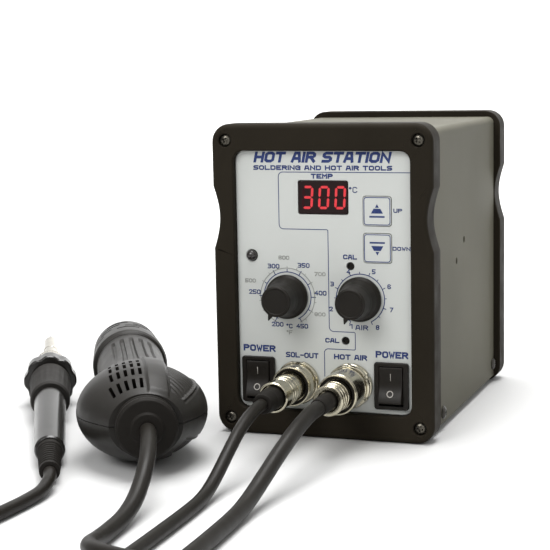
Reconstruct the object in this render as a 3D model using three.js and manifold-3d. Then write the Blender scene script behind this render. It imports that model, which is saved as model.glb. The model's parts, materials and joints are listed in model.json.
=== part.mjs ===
// Hot air station: a bench station for a hot air gun and a soldering iron, with both
// handpieces lying beside it. Millimetres, +Z up, +Y towards the rear. The origin is on
// the underside of the front bezel, at the middle of its width and depth.
import * as THREE from 'three';
import { mergeVertices } from 'three/addons/utils/BufferGeometryUtils.js';
import Module from 'manifold-3d';

// ---- driving dimensions --------------------------------------------------------------
const GAP = 0.3;                      // clearance between pieces that touch
const WIDTH = 100, HEIGHT = 138;      // outline of both moulded bezels
const DEPTH = 151;                    // front face to rear face
const BEZEL_DEPTH = 13;               // each bezel, front to back
const FRONT = -BEZEL_DEPTH / 2;       // face of the front bezel
const REAR = FRONT + DEPTH;           // face of the rear bezel
const CORNER = 8;                     // outer corner radius of a bezel
const WAIST = 2.8;                    // how far each side is drawn in at the waist
const WAIST_Z = [83, 110.8];          // where the waist begins and ends
const WINDOW = { w: 80, h: 114.6, r: 4.6, z: 69 };
const LIP = 3.8;                      // thickness of the bezel in front of the panel
const POCKET = 44.5;                  // half width of the space behind the bezel's lip
const POCKET_Z = [3.5, 134.5];
const BOSS = { w: 6.8, h: 8.4 };      // corner blocks that take the screws
const SCREW = { x: 43.6, z: [6.8, 130.8], head: 2.6, shank: 1.25, length: 9, sunk: 0.5, seat: 2.2 };
const COVER = { x: 46.8, z: [3, 135], bend: 3, wall: 1 };
const BASE = { flange: 10, wall: 1.2 };
const HOLDER_HOLES = { r: 1.6, at: [[65, 80.8], [50, 72.7]] };  // [y, z] in the right wall

const SKIN_Y = FRONT + 3.4;           // printed face of the panel
const SKIN = 0.5;                     // overlay thickness
const PANEL_Y = SKIN_Y + SKIN + GAP;  // front of the metal panel
const PANEL = 1.4;                    // panel thickness

const DISPLAY = { x: 0.4, z: 106, w: 22.4, h: 14.3 };
const KEYS = { x: 24.7, z: [100.4, 84.4], w: 12.4, h: 12.6, proud: 0.4, travel: 0.5, stem: 2 };
const LAMP = { x: -33, z: 80, r: 2.5 };
const CAL_HOLES = [[12.4, 76.3], [9.8, 43.4]];
const CAL_R = 1.85;
const KNOBS = { x: 16.7, z: 62.1, base: 9.8, face: 6.4, height: 15.4, shaft: 3, pot: 8.2 };
const SWITCH = { x: 30.6, z: 24.5, w: 15.4, h: 20.8, frame: 1.6 };
const ROCKER = { w: 10.4, half: 7.9, tip: 4.2, dip: 3.1, back: 1.5, tilt: 9.5 };
const SOCKETS = { x: 12.2, z: 24 };
const BOARD_Y = 9;                    // the control board behind the panel

const IRON_CORD = 2.6, AIR_CORD = 3.2;    // cord radii
const BOOT_END = -50;                 // where the cords leave their plugs
const PLUG_END = -37, SHELL = 6.6;    // end and radius of both plug shells
const THREAD = 7.1, INSERT = 5.6;     // radii of a socket's thread and a plug's front end
const BORE_DEPTH = 4;                 // how deep a boot stands in its shell

// Each connector: thickness of its nut, end of its coupling ring, radii of its boot.
const CONNECTORS = [
  { name: 'iron', side: -1, nut: 2.2, ring: -14, boot: [4.9, 4.3] },
  { name: 'air', side: 1, nut: 5.5, ring: -25, boot: [3.9, 3.7] },
];

const TOOL_TURN = 28;                 // both handpieces point this far left of +Y
const IRON = { at: [-81.3, -106.8, 5.3], tilt: 3 };
const GUN = { at: [-45, -92, 21], tilt: -1 };

// A coil lies flat: its middle, the mean radius of its turns, and its half width.
const IRON_COIL = { x: -44.8, y: -258, mean: 29, half: 8.6, r: IRON_CORD };
const AIR_COIL = { x: 52, y: -250, mean: 35, half: 9.3, r: AIR_CORD };

const OVER = 1;                       // how far a cutting tool reaches past what it cuts

// ---- solids --------------------------------------------------------------------------
const wasm = await Module();
wasm.setup();

// Keep positions only, share equal vertices and drop triangles that have no area.
function weld(geometry) {
  const g = geometry.clone();
  for (const name of ['normal', 'uv']) g.deleteAttribute(name);
  const merged = mergeVertices(g, 1e-4);
  const index = merged.index.array, kept = [];
  for (let i = 0; i < index.length; i += 3) {
    const [a, b, c] = [index[i], index[i + 1], index[i + 2]];
    if (a !== b && b !== c && c !== a) kept.push(a, b, c);
  }
  merged.setIndex(kept);
  return facingOut(merged);
}

// Turn every triangle over when the enclosed volume comes out negative.
function facingOut(geometry) {
  const p = geometry.attributes.position, index = geometry.index.array;
  const [a, b, c] = [0, 1, 2].map(() => new THREE.Vector3());
  let volume = 0;
  for (let i = 0; i < index.length; i += 3) {
    a.fromBufferAttribute(p, index[i]);
    b.fromBufferAttribute(p, index[i + 1]);
    c.fromBufferAttribute(p, index[i + 2]);
    volume += a.dot(b.cross(c));
  }
  if (volume < 0) {
    for (let i = 0; i < index.length; i += 3) [index[i], index[i + 1]] = [index[i + 1], index[i]];
  }
  return geometry;
}

function solid(geometry) {
  const g = weld(geometry);
  return new wasm.Manifold(new wasm.Mesh({
    numProp: 3,
    vertProperties: new Float32Array(g.attributes.position.array),
    triVerts: new Uint32Array(g.index.array),
  }));
}

function fromSolid(manifold) {
  const mesh = manifold.getMesh();
  const g = new THREE.BufferGeometry();
  g.setAttribute('position', new THREE.BufferAttribute(mesh.vertProperties, 3));
  g.setIndex(new THREE.BufferAttribute(mesh.triVerts, 1));
  return g;
}

function join(first, ...others) {
  let s = solid(first);
  for (const g of others) s = s.add(solid(g));
  return fromSolid(s);
}

function cut(body, ...tools) {
  let s = solid(body);
  for (const g of tools) s = s.subtract(solid(g));
  return fromSolid(s);
}

function common(a, b) {
  return fromSolid(solid(a).intersect(solid(b)));
}

// ---- shapes --------------------------------------------------------------------------
// A shape is drawn with x across and z up, then given its depth along Y.
function slab(shape, y0, y1, curveSegments = 2) {
  const g = new THREE.ExtrudeGeometry(shape, { depth: y1 - y0, bevelEnabled: false, curveSegments });
  return g.rotateX(Math.PI / 2).translate(0, y1, 0);
}

// A shape drawn with y to the right and z up, given its width along X.
function strip(shape, x0, x1, curveSegments = 2) {
  const g = new THREE.ExtrudeGeometry(shape, { depth: x1 - x0, bevelEnabled: false, curveSegments });
  return g.rotateX(Math.PI / 2).rotateZ(Math.PI / 2).translate(x0, 0, 0);
}

function box(x, y, z) {
  const g = new THREE.BoxGeometry(x[1] - x[0], y[1] - y[0], z[1] - z[0]);
  return g.translate((x[0] + x[1]) / 2, (y[0] + y[1]) / 2, (z[0] + z[1]) / 2);
}

function roundRect(w, h, r, x = 0, z = 0, target = new THREE.Shape()) {
  const [l, b, t, e] = [x - w / 2, z - h / 2, z + h / 2, x + w / 2];
  target.moveTo(l + r, b).lineTo(e - r, b);
  target.absarc(e - r, b + r, r, -Math.PI / 2, 0);
  target.lineTo(e, t - r).absarc(e - r, t - r, r, 0, Math.PI / 2);
  target.lineTo(l + r, t).absarc(l + r, t - r, r, Math.PI / 2, Math.PI);
  target.lineTo(l, b + r).absarc(l + r, b + r, r, Math.PI, 1.5 * Math.PI);
  return target;
}

function circle(r, x = 0, z = 0, target = new THREE.Shape(), sides = 20) {
  for (let i = 0; i < sides; i++) {
    const a = 2 * Math.PI * i / sides;
    target[i ? 'lineTo' : 'moveTo'](x + r * Math.cos(a), z + r * Math.sin(a));
  }
  target.closePath();
  return target;
}

// Revolve [radius, y] pairs about the Y axis.
function turned(profile, segments = 24) {
  return new THREE.LatheGeometry(profile.map(([r, y]) => new THREE.Vector2(r, y)), segments);
}

function rod(r, y0, y1, x = 0, z = 0, segments = 16) {
  return turned([[0, y0], [r, y0], [r, y1], [0, y1]], segments).translate(x, 0, z);
}

// ---- scene graph ---------------------------------------------------------------------
const station = new THREE.Group();

function add(name, geometry, colour, roughness, metalness = 0, parent = station) {
  const g = weld(geometry).toNonIndexed();
  g.computeVertexNormals();
  const mesh = new THREE.Mesh(g, new THREE.MeshStandardMaterial({ color: colour, roughness, metalness }));
  mesh.name = name;
  parent.add(mesh);
  return mesh;
}

const BLACK = 0x1b1918, PANEL_GREY = 0xc9cdd2, NICKEL = 0xb9b3a8, HOUSING = 0x8d8a84;
const SCREW_BLACK = 0x1a1a1a, BOARD_GREEN = 0x2c5a3a, RUBBER = 0x161616, CORD = 0x1c1c1c;

// ---- bezels --------------------------------------------------------------------------
function bezelOutline() {
  const h = WIDTH / 2, [z0, z1] = WAIST_Z, steps = 8;
  const waist = Array.from({ length: steps + 1 }, (_, k) =>
    [h - WAIST * Math.sin(Math.PI * k / steps), z0 + (z1 - z0) * k / steps]);
  const s = new THREE.Shape();
  s.moveTo(-h + CORNER, 0).lineTo(h - CORNER, 0);
  s.absarc(h - CORNER, CORNER, CORNER, -Math.PI / 2, 0);
  for (const [x, z] of waist) s.lineTo(x, z);
  s.lineTo(h, HEIGHT - CORNER);
  s.absarc(h - CORNER, HEIGHT - CORNER, CORNER, 0, Math.PI / 2);
  s.lineTo(-h + CORNER, HEIGHT);
  s.absarc(-h + CORNER, HEIGHT - CORNER, CORNER, Math.PI / 2, Math.PI);
  for (const [x, z] of waist.reverse()) s.lineTo(-x, z);
  s.lineTo(-h, CORNER).absarc(-h + CORNER, CORNER, CORNER, Math.PI, 1.5 * Math.PI);
  return s;
}

// The pocket behind the lip, with a block left in each corner for the screws.
function pocketOutline(inset = 0) {
  const x = POCKET - inset, xi = POCKET - BOSS.w - inset;
  const [b, t] = [POCKET_Z[0] + inset, POCKET_Z[1] - inset];
  const [bi, ti] = [POCKET_Z[0] + BOSS.h + inset, POCKET_Z[1] - BOSS.h - inset];
  const s = new THREE.Shape();
  s.moveTo(-xi, b).lineTo(xi, b).lineTo(xi, bi).lineTo(x, bi).lineTo(x, ti).lineTo(xi, ti);
  s.lineTo(xi, t).lineTo(-xi, t).lineTo(-xi, ti).lineTo(-x, ti).lineTo(-x, bi).lineTo(-xi, bi);
  return s;
}

const corners = [SCREW.z[1], SCREW.z[0]].flatMap((z) => [[-SCREW.x, z], [SCREW.x, z]]);

// A bezel is made for the front; the rear one is the same moulding turned to face back.
function bezel() {
  const back = FRONT + BEZEL_DEPTH;
  const window = roundRect(WINDOW.w, WINDOW.h, WINDOW.r, 0, WINDOW.z);
  const holes = corners.flatMap(([x, z]) => [
    rod(SCREW.head + GAP, FRONT - OVER, FRONT + SCREW.seat, x, z),
    rod(SCREW.shank + GAP, FRONT + SCREW.seat - 0.2, back + OVER, x, z, 8),
  ]);
  return cut(slab(bezelOutline(), FRONT, back, 3), slab(window, FRONT - OVER, back + OVER),
    slab(pocketOutline(), FRONT + LIP, back + OVER), ...holes);
}

// Pan head with a cross slot, sunk in its recess.
function screw() {
  const top = FRONT + SCREW.sunk, seat = FRONT + SCREW.seat - GAP;
  const body = turned([[0, top + SCREW.length], [SCREW.shank, top + SCREW.length], [SCREW.shank, seat],
    [SCREW.head, seat], [SCREW.head, top + 0.5], [SCREW.head * 0.6, top], [0, top]], 12);
  const slots = [[0.35, 1.5], [1.5, 0.35]].map(([x, z]) => box([-x, x], [top - OVER, top + 0.9], [-z, z]));
  return cut(body, ...slots);
}

const turnBack = (g) => g.rotateZ(Math.PI).translate(0, FRONT + REAR, 0);

add('front_bezel', bezel(), BLACK, 0.62);
add('rear_bezel', turnBack(bezel()), BLACK, 0.62);
for (const [i, [x, z]] of corners.entries()) {
  add(`front_screw_${i + 1}`, screw().translate(x, 0, z), SCREW_BLACK, 0.35, 0.8);
  add(`rear_screw_${i + 1}`, turnBack(screw().translate(x, 0, z)), SCREW_BLACK, 0.35, 0.8);
}

// ---- sheet metal ---------------------------------------------------------------------
const INSIDE = [FRONT + BEZEL_DEPTH + GAP, REAR - BEZEL_DEPTH - GAP];

function coverProfile() {
  const { x, z: [b, t], bend, wall } = COVER, i = x - wall, ri = bend - wall;
  const s = new THREE.Shape();
  s.moveTo(x, b).lineTo(x, t - bend).absarc(x - bend, t - bend, bend, 0, Math.PI / 2);
  s.lineTo(-x + bend, t).absarc(-x + bend, t - bend, bend, Math.PI / 2, Math.PI);
  s.lineTo(-x, b).lineTo(-i, b).lineTo(-i, t - bend);
  s.absarc(-x + bend, t - bend, ri, Math.PI, Math.PI / 2, true);
  s.lineTo(x - bend, t - wall).absarc(x - bend, t - bend, ri, Math.PI / 2, 0, true);
  s.lineTo(i, b);
  return s;
}

function baseProfile() {
  const x = COVER.x - COVER.wall - GAP, b = COVER.z[0], t = b + BASE.flange, { wall } = BASE;
  const s = new THREE.Shape();
  s.moveTo(-x, b).lineTo(x, b).lineTo(x, t).lineTo(x - wall, t).lineTo(x - wall, b + wall);
  s.lineTo(-x + wall, b + wall).lineTo(-x + wall, t).lineTo(-x, t);
  return s;
}

// Two holes through the right wall, for the screws of a handpiece holder.
const holderHoles = HOLDER_HOLES.at.map(([y, z]) =>
  rod(HOLDER_HOLES.r, -10, 10, 0, 0, 12).rotateZ(-Math.PI / 2).translate(COVER.x, y, z));
add('housing_cover', cut(slab(coverProfile(), ...INSIDE), ...holderHoles), HOUSING, 0.45, 0.35);
add('base_plate', slab(baseProfile(), ...INSIDE), 0x7d7c78, 0.45, 0.6);

// ---- front panel ---------------------------------------------------------------------
// Openings shared by the printed overlay and the metal panel behind it.
function panelHoles(shape) {
  const hole = () => new THREE.Path();
  const c = 2 * GAP;
  shape.holes.push(
    roundRect(DISPLAY.w + c, DISPLAY.h + c, 1, DISPLAY.x, DISPLAY.z, hole()),
    ...KEYS.z.map((z) => roundRect(KEYS.w + c, KEYS.h + c, 1.4, KEYS.x, z, hole())),
    circle(LAMP.r + GAP, LAMP.x, LAMP.z, hole()),
    ...CAL_HOLES.map(([x, z]) => circle(CAL_R, x, z, hole())),
    ...[-1, 1].flatMap((s) => [
      circle(KNOBS.shaft + 0.8, s * KNOBS.x, KNOBS.z, hole()),
      roundRect(SWITCH.w - 2, SWITCH.h - 1.8, 0.6, s * SWITCH.x, SWITCH.z, hole()),
      circle(6.6, s * SOCKETS.x, SOCKETS.z, hole()),
    ]),
  );
  return shape;
}

const overlay = roundRect(WINDOW.w - 2 * GAP, WINDOW.h - 2 * GAP, WINDOW.r, 0, WINDOW.z);
add('panel_overlay', slab(panelHoles(overlay), SKIN_Y, SKIN_Y + SKIN), PANEL_GREY, 0.4);
add('front_panel', slab(panelHoles(pocketOutline(0.4)), PANEL_Y, PANEL_Y + PANEL), 0xa8a8a6, 0.4, 0.8);

const displayWindow = roundRect(DISPLAY.w, DISPLAY.h, 0.8, DISPLAY.x, DISPLAY.z);
add('display_window', slab(displayWindow, SKIN_Y - 0.3, SKIN_Y + 0.6), 0x2a0508, 0.15);
add('display_module', box([DISPLAY.x - 11, DISPLAY.x + 11], [SKIN_Y + 0.9, BOARD_Y - GAP],
  [DISPLAY.z - 6.9, DISPLAY.z + 6.9]), 0x1c1a1a, 0.6);
add('control_board', box([-38, 38], [BOARD_Y, BOARD_Y + 1.6], [38.5, 118]), BOARD_GREEN, 0.5);

for (const [i, name] of ['up_key', 'down_key'].entries()) {
  const { x, w, h, z: { [i]: z }, proud, travel, stem: half } = KEYS;
  const cap = slab(roundRect(w, h, 1.2, x, z), SKIN_Y - proud, PANEL_Y + PANEL);
  const stem = box([x - half, x + half], [PANEL_Y, BOARD_Y - travel - GAP], [z - half, z + half]);
  add(name, join(cap, stem), 0xd6dade, 0.4);
}

add('lamp', turned([[0, SKIN_Y - 2.4], [1.5, SKIN_Y - 2.1], [2.3, SKIN_Y - 1.1], [LAMP.r, SKIN_Y],
  [LAMP.r, BOARD_Y - GAP], [0, BOARD_Y - GAP]], 20).translate(LAMP.x, 0, LAMP.z), 0x2a0c0c, 0.2);

for (const [i, [x, z]] of CAL_HOLES.entries()) {
  const rotor = rod(CAL_R - GAP, SKIN_Y + 1.2, BOARD_Y - GAP, x, z);
  const slot = box([x - 1.2, x + 1.2], [SKIN_Y, SKIN_Y + 1.9], [z - 0.25, z + 0.25]);
  add(`cal_trimmer_${i + 1}`, cut(rotor, slot), 0x30302e, 0.5);
}

// ---- potentiometers and knobs --------------------------------------------------------
const KNOB_FOOT = SKIN_Y - 0.6, KNOB_TOP = KNOB_FOOT - KNOBS.height;
const POINTER = 0.8;                  // half the width of a knob's pointer

function pot() {
  const nut = PANEL_Y + PANEL + GAP, tip = KNOB_TOP + 3.3;
  const { shaft, pot: can } = KNOBS, back = BOARD_Y - GAP;
  return turned([[0, tip], [shaft, tip], [shaft, nut], [can, nut], [can, back], [0, back]]);
}

// A tapered knob with a flared foot and a pointer across its edge.
function knob(pointerAngle) {
  const y = (h) => KNOB_FOOT - h;
  const { base, face, height, shaft } = KNOBS;
  const bore = shaft + GAP, bottom = y(height - 3);
  const body = turned([[0, bottom], [bore, bottom], [bore, y(0)], [base, y(0)], [base, y(1.6)], [8.7, y(2.6)],
    [7.4, y(7)], [face + 0.3, y(height - 0.8)], [face - 0.3, y(height)], [0, y(height)]]);
  const along = [y(height + 0.3), y(height - 5)];
  const pointer = box([-POINTER, POINTER], along, [face - 3, face + 1.8]);
  return join(body, pointer.rotateY(THREE.MathUtils.degToRad(pointerAngle)));
}

// Both knobs stand at their lowest mark.
for (const [side, name, angle] of [[-1, 'temp', -158], [1, 'air', -164]]) {
  add(`${name}_pot`, pot().translate(side * KNOBS.x, 0, KNOBS.z), 0x8f8f8c, 0.4, 0.7);
  add(`${name}_knob`, knob(angle).translate(side * KNOBS.x, 0, KNOBS.z), BLACK, 0.45);
}

// ---- rocker switches -----------------------------------------------------------------
const PIVOT_Y = SKIN_Y + 0.4;

function switchBody() {
  const face = SKIN_Y - GAP - SWITCH.frame;
  const frame = slab(roundRect(SWITCH.w, SWITCH.h, 1.2), face, SKIN_Y - GAP);
  const body = slab(roundRect(SWITCH.w - 2.8, SWITCH.h - 2.6, 0.4), SKIN_Y - GAP - 0.1, 16);
  const well = box([-ROCKER.w / 2 - GAP, ROCKER.w / 2 + GAP], [face - 1, PIVOT_Y + 3.6], [-8.75, 8.75]);
  return cut(join(frame, body), well);
}

// Two flats that meet in a shallow valley, drawn level and then tipped with the top in.
function rocker() {
  const { half, tip, dip, back, w, tilt } = ROCKER;
  const s = new THREE.Shape();
  s.moveTo(back, -half).lineTo(back, half).lineTo(-tip, half).lineTo(-dip, 0).lineTo(-tip, -half);
  return strip(s, -w / 2, w / 2).rotateX(THREE.MathUtils.degToRad(-tilt));
}

for (const [side, name] of [[-1, 'iron'], [1, 'air']]) {
  add(`${name}_switch_body`, switchBody().translate(side * SWITCH.x, 0, SWITCH.z), BLACK, 0.4);
  add(`${name}_rocker`, rocker().translate(side * SWITCH.x, PIVOT_Y, SWITCH.z), 0x151414, 0.35);
}

// ---- connectors ----------------------------------------------------------------------
function socket({ nut, ring }) {
  const f = SKIN_Y - GAP, end = ring + 4.9;
  const bore = INSERT + GAP, bottom = f - 3.2, back = 12;
  return turned([[0, bottom], [bore, bottom], [bore, end], [THREAD, end], [THREAD, f - nut], [9.6, f - nut],
    [9.8, f - nut + 0.4], [9.8, f], [6.2, f], [6.2, back], [0, back]]);
}

// Its outer end is a thin rim round a recess, and an inner lip holds the plug's shoulder.
function couplingRing({ nut, ring }) {
  const f = SKIN_Y - nut - 0.7, lip = SHELL + GAP;
  return turned([[7.5, f], [8.5, f], [8.8, f - 0.5], [8.8, ring + 0.4], [8.5, ring], [8.1, ring],
    [8.1, ring + 1.2], [lip, ring + 1.2], [lip, ring + 2.7], [7.5, ring + 2.7], [7.5, f]]);
}

// The boot stands in a bore in the end of the shell.
function plugShell({ ring, boot }) {
  const f = SKIN_Y - 3.8, bore = boot[0] + GAP, bottom = PLUG_END + BORE_DEPTH;
  return turned([[0, f], [INSERT, f], [INSERT, ring + 4.6], [THREAD, ring + 4.6], [THREAD, ring + 3],
    [SHELL, ring + 3], [SHELL, PLUG_END + 0.4], [SHELL - 0.4, PLUG_END], [bore, PLUG_END], [bore, bottom],
    [0, bottom]]);
}

function plugBoot({ boot: [thick, thin] }) {
  const root = PLUG_END + BORE_DEPTH - GAP;
  return turned([[0, root], [thick, root], [thick, BOOT_END + 6.5], [thin, BOOT_END + 1.4], [thin, BOOT_END],
    [0, BOOT_END]], 20);
}

for (const connector of CONNECTORS) {
  const { name, side } = connector;
  const at = (g) => g.translate(side * SOCKETS.x, 0, SOCKETS.z);
  add(`${name}_socket`, at(socket(connector)), NICKEL, 0.3, 0.9);
  add(`${name}_coupling_ring`, at(couplingRing(connector)), NICKEL, 0.3, 0.9);
  add(`${name}_plug_shell`, at(plugShell(connector)), NICKEL, 0.3, 0.9);
  add(`${name}_plug_boot`, at(plugBoot(connector)), BLACK, 0.7);
}

// ---- inside and rear -----------------------------------------------------------------
const INLET = { x: 18, z: 32, w: 27.2, h: 19.6, deep: 16, wall: 1.6, flange: 2.4, pins: 7 };

function rearPanel() {
  const shape = pocketOutline(0.4);
  shape.holes.push(roundRect(INLET.w + 2 * GAP, INLET.h + 2 * GAP, 2, INLET.x, INLET.z, new THREE.Path()));
  return slab(shape, REAR - LIP - GAP - PANEL, REAR - LIP - GAP);
}

// A recessed mains inlet: a flanged shell with three flat pins standing in it.
function powerInlet() {
  const y = REAR - LIP, { x, z, w, h, deep, wall, flange, pins } = INLET;
  const plate = slab(roundRect(w + 2 * flange, h + 2 * flange, 2, x, z), y, y + 1.6);
  const shell = slab(roundRect(w, h, 2, x, z), y - deep - 3, y + 0.1);
  const well = slab(roundRect(w - 2 * wall, h - 2 * wall, 2.5, x, z), y - deep, y + 3);
  const blades = [[-pins, 1.5], [0, -2], [pins, 1.5]].map(([dx, dz]) =>
    box([x + dx - 1, x + dx + 1], [y - deep - 1, y - 2], [z + dz - 2, z + dz + 2]));
  return join(cut(join(plate, shell), well), ...blades);
}

add('rear_panel', rearPanel(), 0x8a8985, 0.4, 0.7);
add('power_inlet', powerInlet(), 0x171717, 0.45);

// The transformer stands on the base plate: a laminated core with its winding through it.
const FLOOR = COVER.z[0] + BASE.wall + GAP;
const core = box([-32, 32], [62, 88], [FLOOR, FLOOR + 54]);
const winding = box([-21, 21], [52, 98], [FLOOR + 9, FLOOR + 45]);
add('transformer', join(core, winding), 0x4c4844, 0.6, 0.3);
add('main_board', box([-43.6, -42], [24, 122], [18, 112]), BOARD_GREEN, 0.5);

// ---- handpieces ----------------------------------------------------------------------
// Each handpiece is drawn along its own +Y, from its cord end at 0 to its tip.
function handpiece({ at, tilt }) {
  const group = new THREE.Group();
  group.position.set(...at);
  group.rotation.set(THREE.MathUtils.degToRad(tilt), 0, THREE.MathUtils.degToRad(TOOL_TURN), 'ZXY');
  station.add(group);
  return group;
}

const iron = handpiece(IRON);
add('iron_boot', turned([[0, 0], [4.2, 0], [5.4, 27.4], [0, 27.4]], 16), RUBBER, 0.75, 0, iron);
add('iron_handle', turned([[0, 27.7], [6.4, 27.7], [7.3, 104], [6.6, 104.4], [6.6, 140.4], [12.7, 141],
  [12.7, 149], [11.4, 153.2], [9, 160], [8.2, 166.4], [0, 166.4]]), BLACK, 0.5, 0, iron);
add('iron_grip', turned([[6.9, 104.8], [9, 104.8], [9.8, 108], [9.8, 136], [9.2, 140], [6.9, 140],
  [6.9, 104.8]]), 0x202020, 0.8, 0, iron);
add('iron_nut', turned([[4.3, 166.7], [7.7, 166.7], [7.7, 173.5], [5.8, 176.3], [3.8, 176.3], [3.8, 174],
  [4.3, 174], [4.3, 166.7]]), NICKEL, 0.3, 0.9, iron);
add('iron_barrel', turned([[0, 167], [4, 167], [4, 173.6], [3.45, 173.7], [3.45, 222], [2.9, 223.3],
  [2.3, 223.3], [2.3, 214], [0, 214]], 20), NICKEL, 0.35, 0.9, iron);
add('iron_tip', turned([[0, 214.3], [2, 214.3], [2, 223.5], [1.7, 226], [0, 240]], 16),
  0x8f9092, 0.3, 0.9, iron);

const gun = handpiece(GUN);
// Body sections: place along the axis, half width, half thickness.
const GUN_BODY = [[9, 15, 13], [14, 18.5, 15], [22, 23.5, 18], [30, 26.6, 19.6], [38, 27.6, 20],
  [46, 27, 19.8], [54, 25, 18.9], [62, 22.2, 17.7], [70, 19.6, 16.6], [80, 17.6, 15.9], [92, 16.5, 15.6],
  [112, 16, 15.6], [141, 16.3, 16.3]];

function gunBody(around = 28) {
  const points = [], index = [], rings = GUN_BODY.length;
  for (const [y, w, h] of GUN_BODY) {
    for (let i = 0; i < around; i++) {
      const a = 2 * Math.PI * (i + 0.5) / around;
      points.push(w * Math.cos(a), y, h * Math.sin(a));
    }
  }
  for (let j = 0; j < rings - 1; j++) {
    for (let i = 0; i < around; i++) {
      const [a, b] = [j * around + i, j * around + (i + 1) % around];
      index.push(a, a + around, b, b, a + around, b + around);
    }
  }
  for (const start of [0, (rings - 1) * around]) {
    for (let i = 1; i < around - 1; i++) {
      const flip = start === 0;
      index.push(start, start + (flip ? i : i + 1), start + (flip ? i + 1 : i));
    }
  }
  const g = new THREE.BufferGeometry();
  g.setAttribute('position', new THREE.Float32BufferAttribute(points, 3));
  g.setIndex(index);
  return g;
}

const halves = { gun_shell_top: [GAP / 2, 40], gun_shell_bottom: [-40, -GAP / 2] };
for (const [name, z] of Object.entries(halves)) {
  add(name, common(gunBody(), box([-40, 40], [0, 200], z)), BLACK, 0.5, 0, gun);
}
add('gun_boot', turned([[0, 0], [6.2, 0], [12.6, 2.2], [12.6, 8.7], [0, 8.7]]), RUBBER, 0.7, 0, gun);
add('gun_collar', turned([[0, 141.3], [16.9, 141.3], [18.2, 144], [17.8, 160], [16.8, 182], [15, 183.5],
  [0, 183.5]], 28), BLACK, 0.5, 0, gun);
add('gun_tube', turned([[0, 183.8], [11.2, 183.8], [11.2, 211], [10.3, 211], [10.3, 190], [0, 190]], 28),
  NICKEL, 0.3, 0.9, gun);
add('gun_nozzle', turned([[8.9, 190.3], [9.8, 190.3], [9.8, 220], [8.9, 220], [8.9, 190.3]], 28),
  NICKEL, 0.3, 0.9, gun);

// ---- cords ---------------------------------------------------------------------------
// Two points straight behind a handpiece, where its cord comes out along its axis.
function behind({ at, tilt }) {
  const [t, turn] = [tilt, TOOL_TURN].map(THREE.MathUtils.degToRad);
  const axis = [-Math.sin(turn) * Math.cos(t), Math.cos(turn) * Math.cos(t), Math.sin(t)];
  return [8, 1.3 * GAP].map((back) => at.map((value, i) => value - back * axis[i]));
}

// Each cord is a lead from its plug, a flat coil, and a tail up to its handpiece.
const IRON_LEAD = [[-12.2, -50.3, 24], [-12.2, -58, 23.6], [-12.2, -68, 21.6], [-12.2, -79, 17.8],
  [-12.1, -90, 12.8], [-11.9, -101, 7.8], [-11.6, -111, 4.4], [-11.2, -121, 2.9], [-10.8, -132, 2.6],
  [-10.2, -160, 2.6], [-10, -190, 2.6], [-10, -233.5, 2.6]];
const IRON_TAIL = [[-79.6, -233.5, 7.8], [-79.6, -222, 7.1], [-79.5, -209, 5.2], [-79.2, -196, 3.5],
  [-78.6, -183, 2.7], [-77.4, -166, 2.6], [-76, -150, 2.6], [-75.2, -137, 2.6], [-75.2, -125, 3.1],
  ...behind(IRON)];
const AIR_LEAD = [[12.2, -50.3, 24], [12.2, -60, 23.7], [11.9, -71, 22], [11.3, -83, 18.9], [10.4, -95, 14.7],
  [9.6, -107, 10.1], [9.1, -118, 6.4], [9.1, -129, 4.1], [9.4, -140, 3.3], [10, -155, 3.2], [10.6, -180, 3.2],
  [11, -226, 3.2]];
const AIR_TAIL = [[28, -209, 9.6], [19, -209, 9.7], [9, -208.8, 9.8], [-1, -207.2, 9.7], [-10, -203, 9.2],
  [-17.6, -196, 7.9], [-23, -187, 5.8], [-26, -176, 3.8], [-27.4, -164, 3.2], [-28.2, -151, 3.9],
  [-29.2, -139, 6.8], [-31, -128, 11.4], [-33.6, -117.5, 16.6], ...behind(GUN)];

function tube(points, r, steps) {
  const extrudePath = new THREE.CatmullRomCurve3(points.map((p) => new THREE.Vector3(...p)));
  const section = circle(r, 0, 0, new THREE.Shape(), 10);
  return new THREE.ExtrudeGeometry(section, { extrudePath, steps, bevelEnabled: false });
}

function coil({ x, y, mean, half, r }) {
  const [inner, outer, top] = [mean - half, mean + half, 4 * r];
  const ring = turned([[inner, 0], [outer, 0], [outer, top], [inner, top], [inner, 0]], 40);
  return ring.rotateX(Math.PI / 2).translate(x, y, 0);
}

add('iron_cord_lead', tube(IRON_LEAD, IRON_CORD, 18), CORD, 0.6);
add('iron_cord_coil', coil(IRON_COIL), CORD, 0.6);
add('iron_cord_tail', tube(IRON_TAIL, IRON_CORD, 14), CORD, 0.6);
add('air_cord_lead', tube(AIR_LEAD, AIR_CORD, 16), CORD, 0.6);
add('air_cord_coil', coil(AIR_COIL), CORD, 0.6);
add('air_cord_tail', tube(AIR_TAIL, AIR_CORD, 14), CORD, 0.6);

export default station;
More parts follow.
